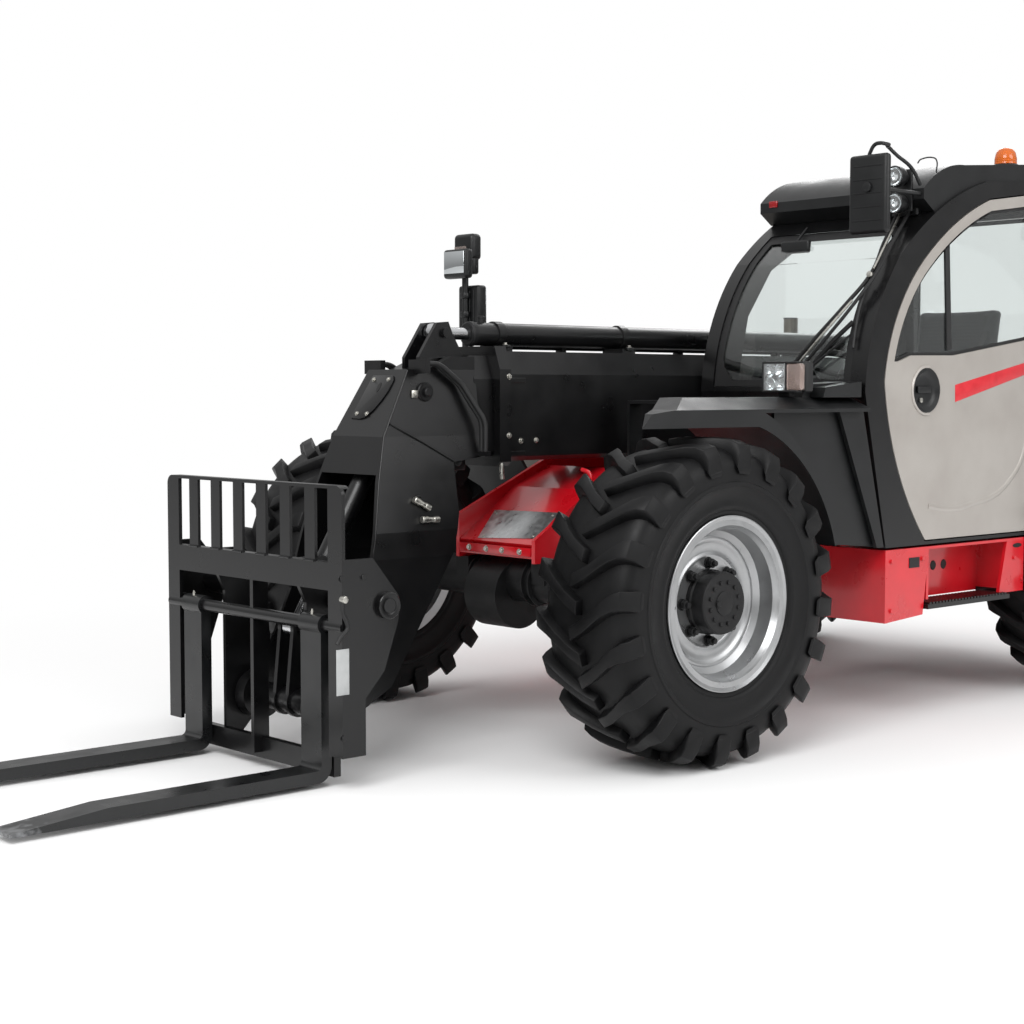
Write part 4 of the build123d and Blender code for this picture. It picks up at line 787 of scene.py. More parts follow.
dress(grained_abs, "chassis",
      block("wiper_box", (wiper_station + 0.006, 0.86, 2.175), (wiper_station + 0.05, 1.0, 2.23), 0.01, 3),
      joined("inner_mirror", block("inner_mirror", (-1.315, 0.36, 2.035), (-1.29, 0.52, 2.095), 0.01, 3),
             tube("inner_mirror_stalk", mirror_stalk, 0.006)))
dress(red_lens, "chassis", block("visor_tip_lamp", (-1.392, 0.215, 2.262), (-1.378, 0.262, 2.292), 0.004, 3))
dress(seal_rubber, "chassis", tube("aerial", aerial, 0.003))
print("windscreen dressed")

# %% [markdown]
# **Lamps, mirror and beacon.**
# %% Headlamp with its indicator
def model_blocks(name, rows):
    """Blocks between points of the model: rows of (low, high, edge, segments)."""
    return [block(name, Vector(low), Vector(high), edge, segments) for low, high, edge, segments in rows]


low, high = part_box("headlamp_left")
floor_z = high.z - (high.z - low.z) * 0.86
face = high.x - 0.034
split = low.y + (high.y - low.y) * 0.6
shell = joined("headlamp_shell", *model_blocks("headlamp_shell", (
    ((low.x + 0.004, low.y, floor_z), (face, high.y, high.z), 0.012, 3),
    ((low.x + 0.02, low.y + 0.05, low.z), (face - 0.01, low.y + 0.11, floor_z + 0.004), 0.004, 2),
    ((face - 0.01, low.y, high.z - 0.009), (high.x, high.y - 0.02, high.z), 0.004, 3),
    ((face - 0.01, low.y, floor_z), (high.x, high.y - 0.02, floor_z + 0.009), 0.004, 3),
    ((face - 0.01, low.y, floor_z), (high.x, low.y + 0.009, high.z), 0.004, 3),
    ((face - 0.01, split - 0.003, floor_z + 0.004), (high.x - 0.004, split + 0.003, high.z - 0.004), 0.002, 2))))
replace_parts(dress(seal_rubber, "chassis", shell), "headlamp_left")
dress(lamp_lens, "chassis", *model_blocks("headlamp_clear", [
    ((high.x - 0.008, low.y + 0.008, floor_z + 0.008), (high.x - 0.002, split - 0.002, high.z - 0.008), 0.002, 3)]))
dress(indicator_lens, "chassis", *model_blocks("headlamp_indicator", [
    ((face + 0.001, split + 0.003, floor_z + 0.008), (high.x - 0.001, high.y + 0.001, high.z - 0.008), 0.012, 4)]))
middle_z, reach = (floor_z + high.z) / 2, (high.z - floor_z) / 2
for across, up, size in ((0.26, 0.44, 0.44), (0.74, 0.44, 0.44), (0.26, -0.46, 0.42), (0.74, -0.46, 0.42)):
    spot = Vector((face + 0.002, low.y + 0.008 + across * (split - low.y - 0.012), middle_z + up * reach))
    wide = size * reach
    dish_rows = ((0, 0.001), (0.3 * wide, 0.002), (0.62 * wide, 0.007), (0.92 * wide, 0.018), (wide, 0.021),
                 (wide * 1.06, 0.02))
    bulb_rows = ((0.26 * wide, 0.002), (0.26 * wide, 0.012), (0.16 * wide, 0.017), (0, 0.018))
    dress(mirror_silver, "chassis", turned("headlamp_dish", spot, forwards, dish_rows, 32))
    dress(lamp_lens, "chassis", turned("headlamp_bulb", spot, forwards, bulb_rows, 20))
print("headlamp dressed")

# %% Work lamps, beacon, tail lamps
shell_rows = ((0, -0.034), (0.022, -0.034), (0.03, -0.028), (0.04, -0.008), (0.0455, 0.012), (0.0455, 0.036),
              (0.0415, 0.038), (0.04, 0.03))
work_low, work_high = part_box("work_lamps")
shells = []
for height in (2.335, 2.222):
    centre = Vector((work_high.x - 0.038, 0.97, height))
    shells.append(turned("work_lamp_shell", centre, forwards, shell_rows))
    for lift in [0.01 * fin - 0.02 for fin in range(5)]:
        shells.append(block("work_lamp_fin", centre + Vector((-0.04, -0.02, lift)),
                            centre + Vector((-0.01, 0.02, lift + 0.0035)), 0.0008, 1))
    dress(mirror_silver, "chassis", turned(
        "work_lamp_dish", centre, forwards, ((0, 0.006), (0.018, 0.008), (0.032, 0.018), (0.0395, 0.028))))
    dress(lamp_lens, "chassis", turned(
        "work_lamp_glass", centre, forwards, ((0, 0.036), (0.025, 0.0355), (0.04, 0.033), (0.0405, 0.029))))
bracket = Vector((work_low.x, 0.93, 2.19))
shells.append(block("work_lamp_bracket", bracket, bracket + Vector((0.012, 0.08, 0.18)), 0.003))
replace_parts(dress(grained_abs, "chassis", joined("work_lamp_shells", *shells)), "work_lamps")
low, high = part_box("beacon")
foot = Vector(((low.x + high.x) / 2, (low.y + high.y) / 2, low.z))
base_rows = ((0, 0.028), (0.052, 0.028), (0.058, 0.024), (0.062, 0.018), (0.062, 0.0), (0, 0.0))
dome_rows = ((0.0515, 0.026), (0.052, 0.034), (0.0506, 0.037), (0.0518, 0.041), (0.0504, 0.045), (0.0516, 0.049),
             (0.05, 0.058), (0.045, 0.08), (0.035, 0.095), (0.021, 0.103), (0.0, 0.1055))
dress(grained_abs, "chassis", turned("beacon_base", foot, upwards, base_rows, 48))
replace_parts(dress(amber_lens, "chassis", turned("beacon_dome", foot, upwards, dome_rows, 48)), "beacon")
low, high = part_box("tail_lamps")
tail_shells = []
for side in (1, -1):
    for inner, outer, finish in ((0.84, 0.884, amber_lens), (0.886, 0.936, red_lens), (0.938, 0.98, red_lens)):
        dress(finish, "chassis", *model_blocks("tail_pane", [
            ((low.x, side * inner, low.z + 0.004), (high.x - 0.006, side * outer, high.z - 0.004), 0.005, 3)]))
    tail_shells += model_blocks("tail_shell", [
        ((high.x - 0.012, side * 0.838, low.z), (high.x, side * 0.982, high.z), 0.004, 2)])
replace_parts(dress(grained_abs, "chassis", joined("tail_lamp_shells", *tail_shells)), "tail_lamps")
print("lamps dressed")

# %% Door mirror with its hoop, and the mirror and lamps on the right-hand post
low, high = place(-0.955, 1.03, 2.06), place(-0.91, 1.222, 2.38)
knob = place(-0.91, 1.13, 2.247)
hoop = [
    *[place(-0.935, y, z) for y, z in ((1.112, 2.372), (1.12, 2.39), (1.142, 2.418), (1.17, 2.422), (1.19, 2.418))],
    (-1.05, 1.12, 2.425), (-1.2, 1.06, 2.405), (-1.32, 1.05, 2.36), (-1.385, 1.045, 2.3)]
mirror_parts = [
    block("mirror_shell", low + Vector((0.008, 0, 0)), high, 0.016, 4),
    *model_blocks("mirror_rib", [
        ((high.x - 0.003, low.y + 0.024, z), (high.x + 0.0015, high.y - 0.024, z + 0.006), 0.001, 1)
        for z in [low.z + 0.05 + 0.055 * i for i in range(5)]]),
    tube("mirror_stay", side_view(1.045, *[(ahead, 2.262) for ahead in (-0.945, -1.1, -1.25, -1.384)]), 0.009),
    rod("mirror_clamp", (-0.945, 1.045, 2.235), (-0.945, 1.045, 2.29), 0.015, 24, 0.002),
    tube("mirror_hoop", hoop, 0.008),
    rod("mirror_knob", knob, knob + Vector((0.012, 0, 0)), 0.02, 28, 0.003)]
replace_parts(dress(grained_abs, "chassis", joined("mirror_shell", *mirror_parts)), "mirror_left")
glass_high = Vector((low.x + 0.0085, high.y - 0.014, high.z - 0.014))
dress(mirror_silver, "chassis", block("mirror_glass", low + Vector((0.005, 0.014, 0.014)), glass_high, 0.0012))
post_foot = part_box("lamp_post")[0].z
post_parts = [tube("post", [(-0.575, -1.0, z) for z in (post_foot, 1.8, 2.08)], 0.016, False, 5)]
for start, end, edge, segments in (
        ((-0.556, -1.085, 1.96), (-0.504, -0.915, 2.1), 0.016, 4),  # frame of the front mirror
        ((-0.66, -1.11, 2.052), (-0.59, -0.97, 2.18), 0.022, 5),  # upper housing and its neck
        ((-0.645, -1.02, 1.985), (-0.6, -0.975, 2.07), 0.012, 3),
        ((-0.65, -1.075, 1.7), (-0.592, -0.925, 1.93), 0.014, 4),  # lower housing
        ((-0.625, -1.05, post_foot), (-0.525, -0.95, post_foot + 0.012), 0.004, 2),
        *[((-0.593, side, 1.725), (-0.588, side + 0.012, 1.905), 0.002, 1)  # ribs
          for side in [0.03 * i - 1.055 for i in range(4)]]):
    post_parts.append(block("post_part", start, end, edge, segments))
for z in (1.79, 1.88, 2.02):
    post_parts.append(rod("post_clamp", (-0.575, -1.0, z - 0.014), (-0.575, -1.0, z + 0.014), 0.023, 24, 0.003))
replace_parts(dress(grained_abs, "chassis", joined("lamp_post_dressed", *post_parts)), "lamp_post")
dress(mirror_silver, "chassis", block("post_front_glass", (-0.5055, -1.073, 1.984), (-0.502, -0.927, 2.089), 0.0012),
      block("post_mirror_glass", (-0.653, -1.066, 1.712), (-0.6495, -0.934, 1.918), 0.001))
dress(indicator_lens, "chassis", block("post_indicator", (-0.5915, -1.095, 2.075), (-0.586, -1.01, 2.12), 0.0025, 3))
print("mirrors dressed")

# %% [markdown]
# **Front of the chassis.**  A bright plate, left blank, lies on the sloping nose floor.
# %% Nose plate
def nose_floor(ahead):
    """Height of the sloping nose floor at a station."""
    return 0.79 + 0.6935 * (0.11 - ahead)


floor_out = Vector((0.57, 0, 0.82))  # square to the nose floor
plate_spots = [place(x, y, nose_floor(x)) + floor_out * 0.0005
               for x, y in ((0.1, -0.125), (0.077, 0.215), (-0.067, 0.205), (-0.057, -0.194))]
rivet_spots = [place(x, y, nose_floor(x)) + floor_out * 0.0025
               for x, y in ((0.088, -0.1), (0.068, 0.19), (-0.05, 0.18), (-0.042, -0.17))]
nose_bolts = [(0.119, y, 0.758) for y in (-0.16, -0.05, 0.05, 0.16)]
lip_spots = ((0.113, -0.226, 0.776), (0.113, 0.226, 0.776), (0.113, 0.226, 0.74), (0.113, -0.226, 0.74))
dress(brushed_plate, "chassis", plate("nose_plate", plate_spots, floor_out * 0.002, 0.0006))
dress(zinc_plate, "chassis", *bolts("nose_plate_rivet", rivet_spots, floor_out, 0.006, 0.004),
      *bolts("nose_bolt", nose_bolts, forwards, 0.01, 0.009))
dress(red_enamel, "chassis", plate("nose_lip", lip_spots, (0.006, 0, 0), 0.002))
print("nose dressed, bolts", len(nose_bolts))

# %% [markdown]
# ** Drop head.** A cover lies on its sloping front plate, its oval slot a dark sheet of painted shade; weld seams, the
# tilt cylinder's pin bosses, two hose fittings and the carriage's pivot caps stand on its sides.
# %% Drop head and the boom's front end
slope = Vector((0.5018, 0, -0.865))
slope_out = Vector((0.865, 0, 0.5018))


def on_slope(side, down):
    """A point on the head's sloping front plate: to the left, and down the slope from its top edge."""
    return place(0.678, side, 1.507) + slope * down + slope_out * 0.0005


def head_half(height):
    """Half width of the drop head at a height."""
    stops = ((1.6, 0.122), (1.507, 0.122), (1.245, 0.16), (1.07, 0.197), (0.88, 0.24), (0.78, 0.25), (0.0, 0.25))
    for (top, wide), (low, wider) in zip(stops, stops[1:]):
        if height >= low:
            return wide + (wider - wide) * (top - height) / (top - low)
    return 0.25


def turns(count):
    """The angles of evenly spaced spots round a circle."""
    return [math.tau * i / count for i in range(count)]


cover = [on_slope(*spot) for spot in (
    (-0.07, 0.03), (0.06, 0.03), (0.075, 0.05), (0.072, 0.1), (0.055, 0.145), (0.03, 0.19), (0, 0.222),
    (-0.03, 0.228), (-0.09, 0.225))]
# painted shade: the slot is a thin dark oval sheet on the cover, standing in for its shaded opening
slot_shade_outline = [on_slope(0.004 + 0.01 * math.cos(a), 0.085 + 0.022 * math.sin(a)) + slope_out * 0.006 for a in turns(24)]
cover_bolts = [on_slope(*spot) + slope_out * 0.006
               for spot in ((0.045, 0.05), (-0.05, 0.05), (-0.06, 0.205), (0.005, 0.205))]
dress(black_enamel, "boom_extension", plate("head_cover", cover, slope_out * 0.006, 0.002))
dress(seal_rubber, "boom_extension", plate("head_slot_painted_shade", slot_shade_outline, slope_out * 0.0012, 0))
dress(zinc_plate, "boom_extension", *bolts("head_cover_bolt", cover_bolts, slope_out, 0.007, 0.006))
boss_rows = ((0, 0.03), (0.014, 0.03), (0.018, 0.026), (0.018, 0.012), (0.034, 0.01), (0.038, 0.006), (0.038, -0.004))
pivot_rows = ((0, 0.012), (0.036, 0.012), (0.041, 0.008), (0.041, -0.002))
seam_spots = ((0.79, 1.295), (0.64, 1.222), (0.492, 1.144))
weld_spots = ((0.676, 1.503), (0.824, 1.246), (0.878, 1.07), (0.93, 0.86), (0.978, 0.64))
for side in (1, -1):
    for name, spots, radius in (("head_seam", seam_spots, 0.0045), ("head_weld", weld_spots, 0.0035)):
        line = [(x, side * (head_half(z) + 0.001), z) for x, z in spots]
        dress(black_enamel, "boom_extension", tube(name, line, radius, False))
    pin_y = head_half(1.418) + 0.001
    dress(cast_iron, "boom_extension",
          turned("tilt_foot_boss", (0.602, side * pin_y, 1.418), (0, side, 0), boss_rows, 36),
          turned("pivot_cap", (1.15, side * 0.2505, 0.24), (0, side, 0), pivot_rows, 36))
    inside, outside = side * (pin_y + 0.001), side * (pin_y + 0.01)
    dress(zinc_plate, "boom_extension",
          block("tilt_foot_keeper", (0.64, inside, 1.395), (0.672, outside, 1.425), 0.002),
          bolt("keeper_bolt", (0.656, outside, 1.41), (0, side, 0), 0.006, 0.005))
    for (x, z), (far_x, far_z) in (((0.727, 1.004), (0.653, 0.965)), ((0.703, 0.924), (0.618, 0.921))):
        near = place(x, side * (head_half(z) + 0.012), z)
        far = place(far_x, side * (head_half(far_z) + 0.012), far_z)
        dress(zinc_plate, "boom_extension", stack("hose_fitting", near, far - near, (
            (0, 0.03, 0.015, 6, 0.002, 1), (0.028, 0.06, 0.011, 24, 0.002, 1),
            (0.056, (far - near).length, 0.014, 6, 0.002, 1))))
        dress(black_enamel, "boom_extension", block(
            "fitting_foot", near + Vector((-0.035, -side * 0.013 - 0.004, -0.012)),
            near + Vector((-0.01, 0.004, 0.012)), 0.002, 1))
dress(zinc_plate, "boom", rod("chain_link", (0.217, 0.158, 1.128), (0.212, 0.158, 1.062), 0.009, 16, 0.002))
for x, z in ((0.102, 1.216), (0.017, 1.218), (0.185, 1.24), (0.185, 1.48)):
    for side in (1, -1):
        reach = 0.17 if x > 0.175 else 0.15  # the collar round the boom's mouth stands further out
        dress(zinc_plate, "boom", bolt("wear_pad_bolt", (x, side * reach, z), (0, side, 0), 0.009, 0.009))
for side in (1, -1):
    for low_z in (1.155, 1.455):
        dress(black_enamel, "boom", block(
            "wear_pad_cover", (0.08, side * 0.1502, low_z), (0.168, side * 0.154, low_z + 0.02), 0.001, 1))
bracket = side_view(0.136, (0.398, 1.192), (0.47, 1.162), (0.47, 1.105), (0.398, 1.105))
dress(black_enamel, "boom_extension", plate("chain_bracket", bracket, (0, 0.01, 0), 0.003))
# painted shade: a dark disc stands in for the shaded inside of the bracket's hole
dress(seal_rubber, "boom_extension", turned("chain_bracket_hole_shade", (0.438, 0.1465, 1.14), leftwards, (
    (0, 0.0008), (0.012, 0.0008), (0.016, 0.0025), (0.019, 0)), 28))
print("drop head dressed, cover bolts", len(cover_bolts))

# %% [markdown]
# **Boom.**  Straps clamp the telescope cylinder's barrel to its saddles, and pipes run along it.  Every cylinder
# gets a gland nut and a wiper seal where its rod comes out.
# %% Straps, pipes and gland nuts
barrel_z = 1.656
strap_rows = ((0.0485, -0.022), (0.0485, 0.022), (0.0545, 0.02), (0.0545, -0.02), (0.0485, -0.022))
for station in (0.11, -0.62, -2.34):
    dress(black_enamel, "boom", turned("barrel_strap", (station, 0, barrel_z), forwards, strap_rows))
    for side in (1, -1):
        dress(black_enamel, "boom", block(
            "strap_ear", (station - 0.022, side * 0.046, 1.6), (station + 0.022, side * 0.074, 1.612), 0.002, 1))
        dress(zinc_plate, "boom", bolt("strap_bolt", (station, side * 0.062, 1.612), upwards, 0.009, 0.01))
for across, radius, name in ((-0.078, 0.009, "telescope_pipe"), (-0.102, 0.007, "tool_pipe")):
    line = side_view(across, (0.06, 1.606), (-0.9, 1.606), (-2.3, 1.606), (-2.42, 1.59))
    dress(black_enamel, "boom", tube(name, line, radius, False))
for station in (-0.35, -1.1, -1.8):
    dress(seal_rubber, "boom", block(
        "pipe_clip", (station - 0.012, -0.112, 1.585), (station + 0.012, -0.066, 1.618), 0.003))
dress(cast_iron, "boom", stack("barrel_port", (0.19, 0, barrel_z), upwards, (
    (0.04, 0.066, 0.014, 20, 0.002, 1), (0.064, 0.076, 0.016, 6, 0.002, 1))))


def gland(name, foot, eye, mouth, barrel, inner, body):
    """A gland nut and a dark wiper seal at a barrel's mouth, on the line from the cylinder's foot to its eye."""
    way = (place(*eye) - place(*foot)).normalized()
    spot = place(*foot) + way * mouth
    nut_rows = ((barrel - 0.006, -0.012), (barrel + 0.0035, -0.01), (barrel + 0.0035, 0.01), (barrel - 0.004, 0.016),
                (inner + 0.004, 0.016), (inner + 0.004, 0.006))
    seal_rows = ((inner + 0.0008, 0.008), (inner + 0.0008, 0.019), (inner + 0.0045, 0.0185), (inner + 0.0045, 0.008))
    dress(cast_iron, body, turned(name, spot, way, nut_rows))
    dress(seal_rubber, body, turned(name + "_seal", spot, way, seal_rows))


gland("telescope_gland", (0.25, 0, barrel_z), (1.25, 0, barrel_z), 0, 0.048, 0.025, "boom")
gland("lift_gland", (-2.88, 0, 0.8), (-1.63, 0, 1.065), 1.168, 0.062, 0.034, "lift_barrel")
gland("tilt_gland", (0.602, 0, 1.418), (1.1353, 0, 0.5196), 0.865, 0.04, 0.024, "tilt_barrel")
print("boom dressed")

# %% [markdown]
# **Fork carriage.**  The pivot's hollow pin ends, a lock lever, the blank label, welds and the forks' nipples.
# %% Carriage details
pin_rows = ((0.0, -0.016), (0.026, -0.016), (0.028, 0.002), (0.033, 0.0035), (0.046, 0.0035), (0.0485, 0.001),
            (0.0485, -0.006))
for side in (1, -1):
    dress(black_enamel, "carriage", turned("boss_ring", (1.139, side * 0.598, 0.656), (0, side, 0), pin_rows))
    # painted shade: a dark disc closes each hollow pin end, standing in for the shade inside it
    dress(seal_rubber, "carriage", turned("boss_hole_shade", (1.139, side * 0.5995, 0.656), (0, side, 0), (
        (0, 0.0005), (0.026, 0.0005), (0.0265, -0.001)), 32))
cheek = 0.58  # the carriage's left face
dress(black_enamel, "carriage", *bolts(
    "carriage_bolt", side_view(cheek, (1.34, 0.765), (1.245, 0.765), (1.335, 0.2)), leftwards, 0.01, 0.006))
lever = side_view(0.592, (1.339, 0.693), (1.345, 0.655), (1.325, 0.61), (1.322, 0.59), (1.352, 0.56), (1.368, 0.537))
dress(seal_rubber, "carriage", tube("fork_lock", lever, 0.0085))
dress(zinc_plate, "carriage", rod("fork_lock_pin", (1.339, 0.582, 0.693), (1.339, 0.606, 0.693), 0.013, 24, 0.002))
label = side_view(cheek + 0.0005, (1.308, 0.353), (1.364, 0.353), (1.364, 0.516), (1.308, 0.516))
dress(blank_label, "carriage", plate("blank_label", label, (0, 0.0008, 0), 0.0003))
grille_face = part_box("carriage")[1].x
for across in [(number - 2.5) * 0.155 for number in range(6)]:
    line = [Vector((grille_face - 0.002, across + half, 0.818)) for half in (-0.031, 0.031)]
    dress(black_enamel, "carriage", tube("bar_weld", line, 0.004, False))
collar_rows = ((0.0235, -0.016), (0.034, -0.016), (0.034, 0.016), (0.0235, 0.016))
for across in (-0.52, 0.52):
    dress(cast_iron, "carriage", turned(
        "shaft_collar", Vector((grille_face - 0.036, across, 0.59)), leftwards, collar_rows, 32))
for name in ("fork_left", "fork_right"):
    low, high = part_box(name)
    top = Vector((low.x + 0.05, (low.y + high.y) / 2, high.z))
    dress(zinc_plate, name, stack("grease_nipple", top, upwards, (
        (-0.004, 0.01, 0.006, 6, 0.001, 1), (0.008, 0.017, 0.004, 12))))
print("carriage dressed")

# %% [markdown]
# ** Skirt and step.** The step's tread has a toothed edge, and the skirt carries a dark socket and a slot drawn as a dark sheet of
# painted shade.
# %% Skirt and step details
for start in [-1.425 - 0.024 * number for number in range(25)]:
    tooth = side_view(1.098, (start, 0.499), (start - 0.018, 0.499), (start - 0.015, 0.509), (start - 0.003, 0.509))
    dress(black_enamel, "chassis", plate("step_tooth", tooth, (0, -0.138, 0), 0))
# painted shade: the slot is a thin dark sheet on the skirt, standing in for the shade inside it
skirt_slot_shade = side_view(1.0802, *[(-2.125 + 0.036 * math.cos(a), 0.716 + 0.01 * math.sin(a)) for a in turns(28)])
skirt_bolts = side_view(1.08, (-1.17, 0.7), (-1.17, 0.49), (-1.39, 0.7), (-2.1, 0.66), (-2.16, 0.56))
dress(seal_rubber, "chassis", block("skirt_socket", (-1.369, 1.0795, 0.665), (-1.296, 1.0835, 0.709), 0.0015),
      plate("skirt_slot_shade", skirt_slot_shade, (0, 0.001, 0), 0),
      *[turned("bay_plug", (x, 0.9205, 0.64), leftwards, ((0, 0.003), (0.018, 0.003), (0.022, 0.0)), 28)
        for x in (-1.7, -1.78)])
tie_down = ((-0.15, 0.252, 1.01), (-0.15, 0.3, 1.03), (-0.15, 0.3, 1.075), (-0.15, 0.252, 1.095))
dress(red_enamel, "chassis", *bolts("skirt_bolt", skirt_bolts, leftwards, 0.009, 0.008),
      tube("tie_down_eye", tie_down, 0.009))
mudguard_spots = [(x, side * y, 1.39) for x, y in ((-0.3, 0.7), (-0.3, 0.92), (-0.78, 0.7), (-0.78, 0.92))
                  for side in (1, -1) if side > 0 or x > -0.68]
dress(cast_iron, "chassis", *bolts("mudguard_bolt", mudguard_spots, upwards, 0.011, 0.007))
print("skirt, step and mudguards dressed")

# %% [markdown]
# **Cab interior.**  A dash with its display, pedals, a joystick on the side console, an armrest and a seat belt.
# %% Cab interior
dress(grained_abs, "chassis", block("dash_display", (-1.3, 0.56, 1.272), (-1.262, 0.7, 1.36), 0.008, 3))
dress(mirror_silver, "chassis", block("dash_screen", (-1.3015, 0.57, 1.284), (-1.3, 0.69, 1.35), 0.0005, 1))
column_turn = math.radians(128)
hub_way = Vector((math.cos(column_turn), 0, math.sin(column_turn)))
hub_spot = place(-1.235 + 0.33 * math.cos(column_turn), 0.63, 1.22 + 0.33 * math.sin(column_turn))
across_way = Vector(leftwards)
down_way = hub_way.cross(across_way)
for arm in [math.radians(degrees) for degrees in (90, 210, 330)]:
    out = across_way * math.cos(arm) + down_way * math.sin(arm)
    spoke = [hub_spot + out * 0.03, hub_spot + out * 0.1 - hub_way * 0.006, hub_spot + out * 0.172]
    dress(grained_abs, "chassis", tube("wheel_spoke", spoke, 0.0095))
knob_rows = ((0, 0.052), (0.014, 0.05), (0.021, 0.04), (0.02, 0.026), (0.01, 0.016), (0.01, 0.0))
boot_rows = ((0.034, 0.0), (0.03, 0.008), (0.026, 0.01), (0.022, 0.02), (0.018, 0.022), (0.014, 0.034), (0.009, 0.036))
grip_rows = ((0.006, 0.0), (0.016, 0.004), (0.019, 0.03), (0.024, 0.055), (0.024, 0.075), (0.014, 0.088), (0, 0.09))
belt = ((-2.235, 0.8, 1.7), (-2.215, 0.845, 1.7), (-2.0, 0.862, 1.33), (-2.02, 0.818, 1.33))
dress(seal_rubber, "chassis", turned("wheel_knob", hub_spot + across_way * 0.178, hub_way, knob_rows, 28), joined(
    "joystick", turned("stick_boot", (-1.6, 0.302, 1.34), upwards, boot_rows, 32),
    tube("stick", side_view(0.302, (-1.6, 1.37), (-1.595, 1.42), (-1.588, 1.45)), 0.008),
    turned("stick_grip", (-1.588, 0.302, 1.44), (0.12, 0, 1), grip_rows, 28)))
for y in (0.47, 0.6, 0.78):
    pad = ((-1.33, y - 0.035, 0.925), (-1.33, y + 0.035, 0.925), (-1.285, y + 0.035, 1.01), (-1.285, y - 0.035, 1.01))
    stem = side_view(y, (-1.3, 0.97), (-1.27, 1.02), (-1.262, 1.08))
    dress(seal_rubber, "chassis", joined(
        "pedal", plate("pedal", pad, (-0.008, 0, 0.004), 0.002), tube("pedal_stem", stem, 0.007)))
dress(grained_abs, "chassis", joined(
    "armrest", block("armrest", (-2.16, 0.345, 1.4), (-1.86, 0.395, 1.44), 0.014, 4),
    tube("armrest_post", [(-2.13, 0.388, 1.3), (-2.14, 0.38, 1.36), (-2.13, 0.375, 1.41)], 0.012)))
dress(seal_rubber, "chassis", plate("seat_belt", belt, (0.0015, 0.0015, 0.0), 0))
print("cab interior dressed")

# %% [markdown]
# **Right side.**  Slats in the hood's openings, latches, a handle, the fuel cap, and a rain cap on the exhaust.
# %% Hood, engine and exhaust details
for start in [-1.119 - 0.12 * number for number in range(7)]:
    for z in [1.074 + 0.038 * row for row in range(5)]:
        slat = ((start, -1.072, z), (start, -1.069, z + 0.03),
                (start - 0.072, -1.069, z + 0.03), (start - 0.072, -1.072, z))
        dress(seal_rubber, "hood", plate("hood_slat", slat, (0, -0.004, -0.006), 0))
for x in (-1.02, -2.04):
    dress(seal_rubber, "hood", joined(
        "hood_latch", block("latch_plate", (x - 0.022, -1.086, 0.975), (x + 0.022, -1.0795, 1.04), 0.003),
        block("latch_paddle", (x - 0.015, -1.094, 0.985), (x + 0.015, -1.085, 1.02), 0.003)))
handle = [(x, y, 1.335) for x, y in (
    (-1.44, -1.0805), (-1.45, -1.112), (-1.55, -1.12), (-1.65, -1.112), (-1.66, -1.0805))]
dress(seal_rubber, "hood", tube("hood_handle", handle, 0.009))
cap_rows = ((0, 0.03), (0.03, 0.03), (0.036, 0.026), (0.038, 0.01), (0.046, 0.008), (0.05, 0.0))
exhaust_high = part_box("exhaust")[1]
pipe = Vector((exhaust_high.x - 0.036, -0.38, exhaust_high.z))
tip_rows = ((0.026, -0.1), (0.026, 0.001), (0.0365, 0.001), (0.0365, -0.006))
guard_rows = ((0.037, -0.52), (0.046, -0.515), (0.046, -0.115), (0.037, -0.11))
rib_rows = ((0.0458, -0.004), (0.0478, -0.002), (0.0478, 0.002), (0.0458, 0.004))
dress(seal_rubber, "chassis", turned("fuel_cap", (-0.99, -1.08, 0.76), (0, -1, 0), cap_rows),
      turned("exhaust_tip", pipe, upwards, tip_rows, 36))
dress(black_enamel, "chassis", turned("exhaust_guard", pipe, upwards, guard_rows, 36),
      *[turned("guard_rib", pipe - Vector((0, 0, 0.16 + 0.04 * i)), upwards, rib_rows, 36) for i in range(8)])
print("right side dressed")

# %% [markdown]
# **Rear and underside.**  Bolts on the counterweight, blank plates, reflectors, the hitch pin, and the axles' ribs
# and bolts.
# %% Rear and underside details
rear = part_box("counterweight")[0].x
weight_spots = [Vector((rear, y, z)) for y in (-0.36, 0.36) for z in (0.7, 1.12)]
wing_spots = [Vector((rear + 0.01, side * 0.56, z)) for side in (1, -1) for z in (0.905, 1.055)]
dress(cast_iron, "chassis", *bolts("weight_bolt", weight_spots, backwards, 0.02, 0.018),
      *bolts("wing_bolt", wing_spots, backwards, 0.012, 0.011))
dress(blank_label, "chassis", *model_blocks("blank_rear_plate", [
    ((rear - 0.004, -0.26, 1.085), (rear, 0.26, 1.185), 0.0015, 2)]))
reflector_rows = ((0, 0.006), (0.026, 0.0055), (0.031, 0.002), (0.031, 0.0))
for side in (1, -1):
    dress(red_lens, "chassis", turned(
        "rear_reflector", Vector((rear + 0.01, side * 0.78, 0.98)), backwards, reflector_rows, 36))
pin = Vector((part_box("tow_hitch")[0].x + 0.03, 0, 0))
ring = [pin + Vector((0, 0.028 * math.sin(turn), 0.822 - 0.028 * math.cos(turn))) for turn in (*turns(10), math.tau)]
pin_rods = stack("hitch_pin", pin, upwards, ((0.66, 0.8, 0.015, 28, 0.002), (0.7803, 0.792, 0.024, 28, 0.002)))
dress(zinc_plate, "chassis", joined("hitch_pin", pin_rods, tube("pin_ring", ring, 0.0035)))
axle_z = 0.625
axle_rows = ((0.086, -0.006), (0.104, -0.004), (0.104, 0.004), (0.086, 0.006))
for station, name in ((front_axle, "front"), (rear_axle, "rear")):
    ribs = [turned("axle_rib", Vector((station, y, axle_z)), leftwards, axle_rows, 32)
            for y in (-0.19, -0.15, 0.15, 0.19)]
    spots = [Vector((station + 0.088 * math.cos(a), -0.192, axle_z + 0.088 * math.sin(a))) for a in turns(10)]
    ribs += bolts("diff_bolt", spots, (0, -1, 0), 0.007, 0.006)
    dress(cast_iron, "chassis", joined(f"axle_ribs_{name}", *ribs))
print("rear and underside dressed")

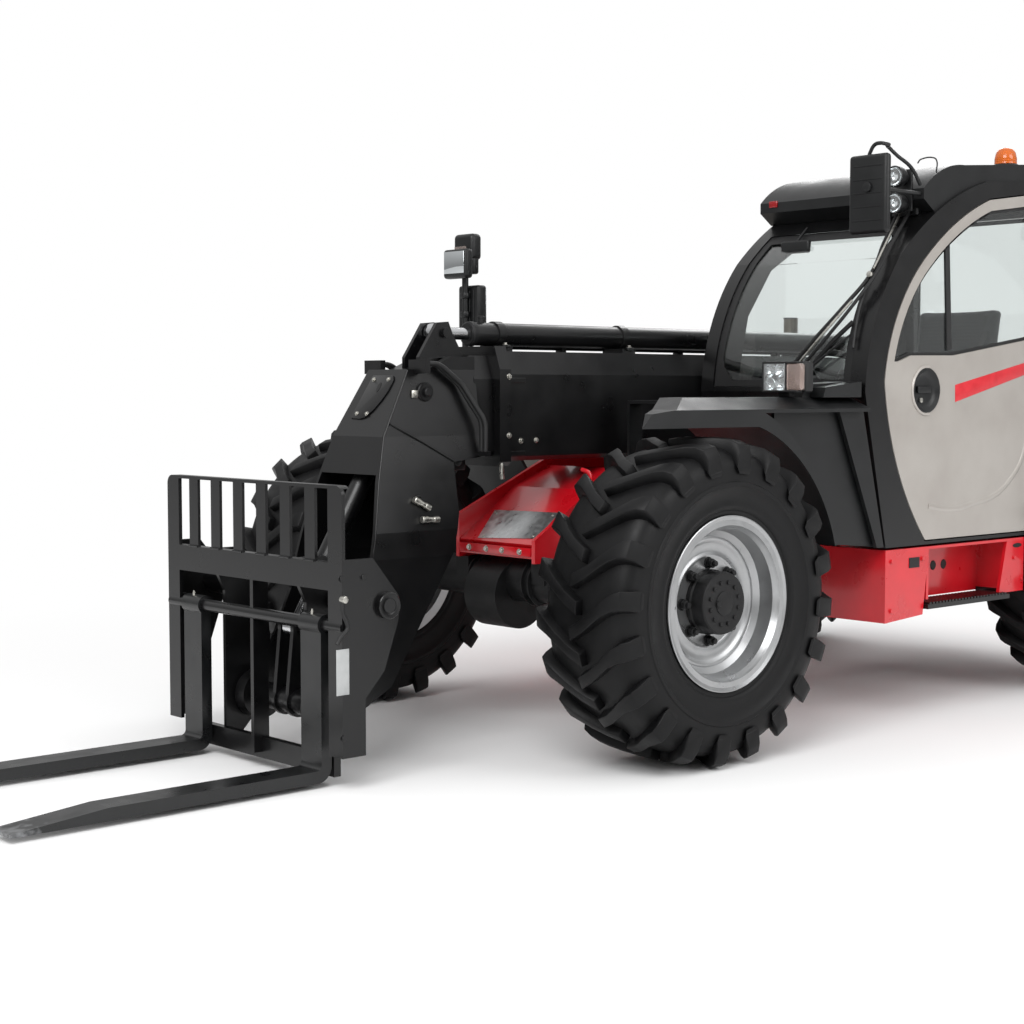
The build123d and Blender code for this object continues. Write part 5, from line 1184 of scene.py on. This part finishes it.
# %% [markdown]
# The floor is a plain pale studio sweep, and soft lamps stand high on both sides.
# %% Floor, lamps and world
bpy.ops.object.select_all(action="DESELECT")
bpy.ops.mesh.primitive_plane_add(size=80, location=(0, 0, 0))
floor = bpy.context.active_object
floor.name = "studio_floor"
floor_paint = new_finish("matt_studio_floor", None, "#F4F4F4", 0.9)
floor.data.materials.append(floor_paint)
shader_of(floor_paint).inputs["Base Color"].default_value = (0.86, 0.86, 0.86, 1)
# far from the machine the floor is seen as bright as the background, so no horizon line shows
far = add_node(floor_paint, "VectorMath", {0: whereabouts(floor_paint)}, operation="LENGTH")
faded = add_node(floor_paint, "MapRange", {"Value": far.outputs["Value"], "From Min": 2.4, "From Max": 5.2},
                 interpolation_type="SMOOTHSTEP")
view = add_node(floor_paint, "LightPath")
blend = add_node(floor_paint, "Math", {0: faded.outputs["Result"], 1: view.outputs["Is Camera Ray"]},
                 operation="MULTIPLY")
white = add_node(floor_paint, "Emission", {"Color": (1, 1, 1, 1), "Strength": 1.0})
either = add_node(floor_paint, "MixShader", {
    0: blend.outputs["Value"], 1: shader_of(floor_paint).outputs["BSDF"], 2: white.outputs["Emission"]})
surface = floor_paint.node_tree.nodes["Material Output"].inputs["Surface"]
floor_paint.node_tree.links.new(either.outputs["Shader"], surface)

# the machine is lit by a sky that is brighter overhead, and seen against plain white
world = bpy.data.worlds.new("studio_world")
scene.world = world
world.use_nodes = True
sky = world.node_tree.nodes["Background"]
sky.inputs["Color"].default_value = (1, 1, 1, 1)
path = add_node(world, "LightPath")
seen = add_node(world, "Math", {0: path.outputs["Is Camera Ray"], 1: path.outputs["Is Transmission Ray"]},
                operation="MAXIMUM")
aim = add_node(world, "TexCoord")
parts = add_node(world, "SeparateXYZ", {"Vector": aim.outputs["Generated"]})
overhead = add_node(world, "MapRange", {
    "Value": parts.outputs["Z"], "From Min": 0.0, "From Max": 0.75, "To Min": 0.3, "To Max": 0.95})
bright = add_node(world, "Mix", {"Factor": seen.outputs[0], 2: overhead.outputs["Result"], 3: 1.0})
world.node_tree.links.new(bright.outputs[0], sky.inputs["Strength"])

lamps = (  # name, place, watts, size
    ("key_softbox", (6.5, 4.0, 6.5), 520, 5.0),
    ("left_softbox", (-2.0, 8.5, 5.0), 300, 5.0),
    ("rear_softbox", (-7.0, -3.0, 6.0), 200, 4.0),
)
for lamp_name, spot, power, size in lamps:
    lamp = linked(lamp_name, bpy.data.lights.new(lamp_name, "AREA"))
    lamp.data.energy, lamp.data.size = power, size
    lamp.location = spot
    lamp.rotation_euler = (Vector((0, 0, 0.8)) - Vector(spot)).to_track_quat("-Z", "Y").to_euler()
print("studio lit by", len(lamps), "soft lamps")

# %% Update the scene
bpy.context.view_layer.update()
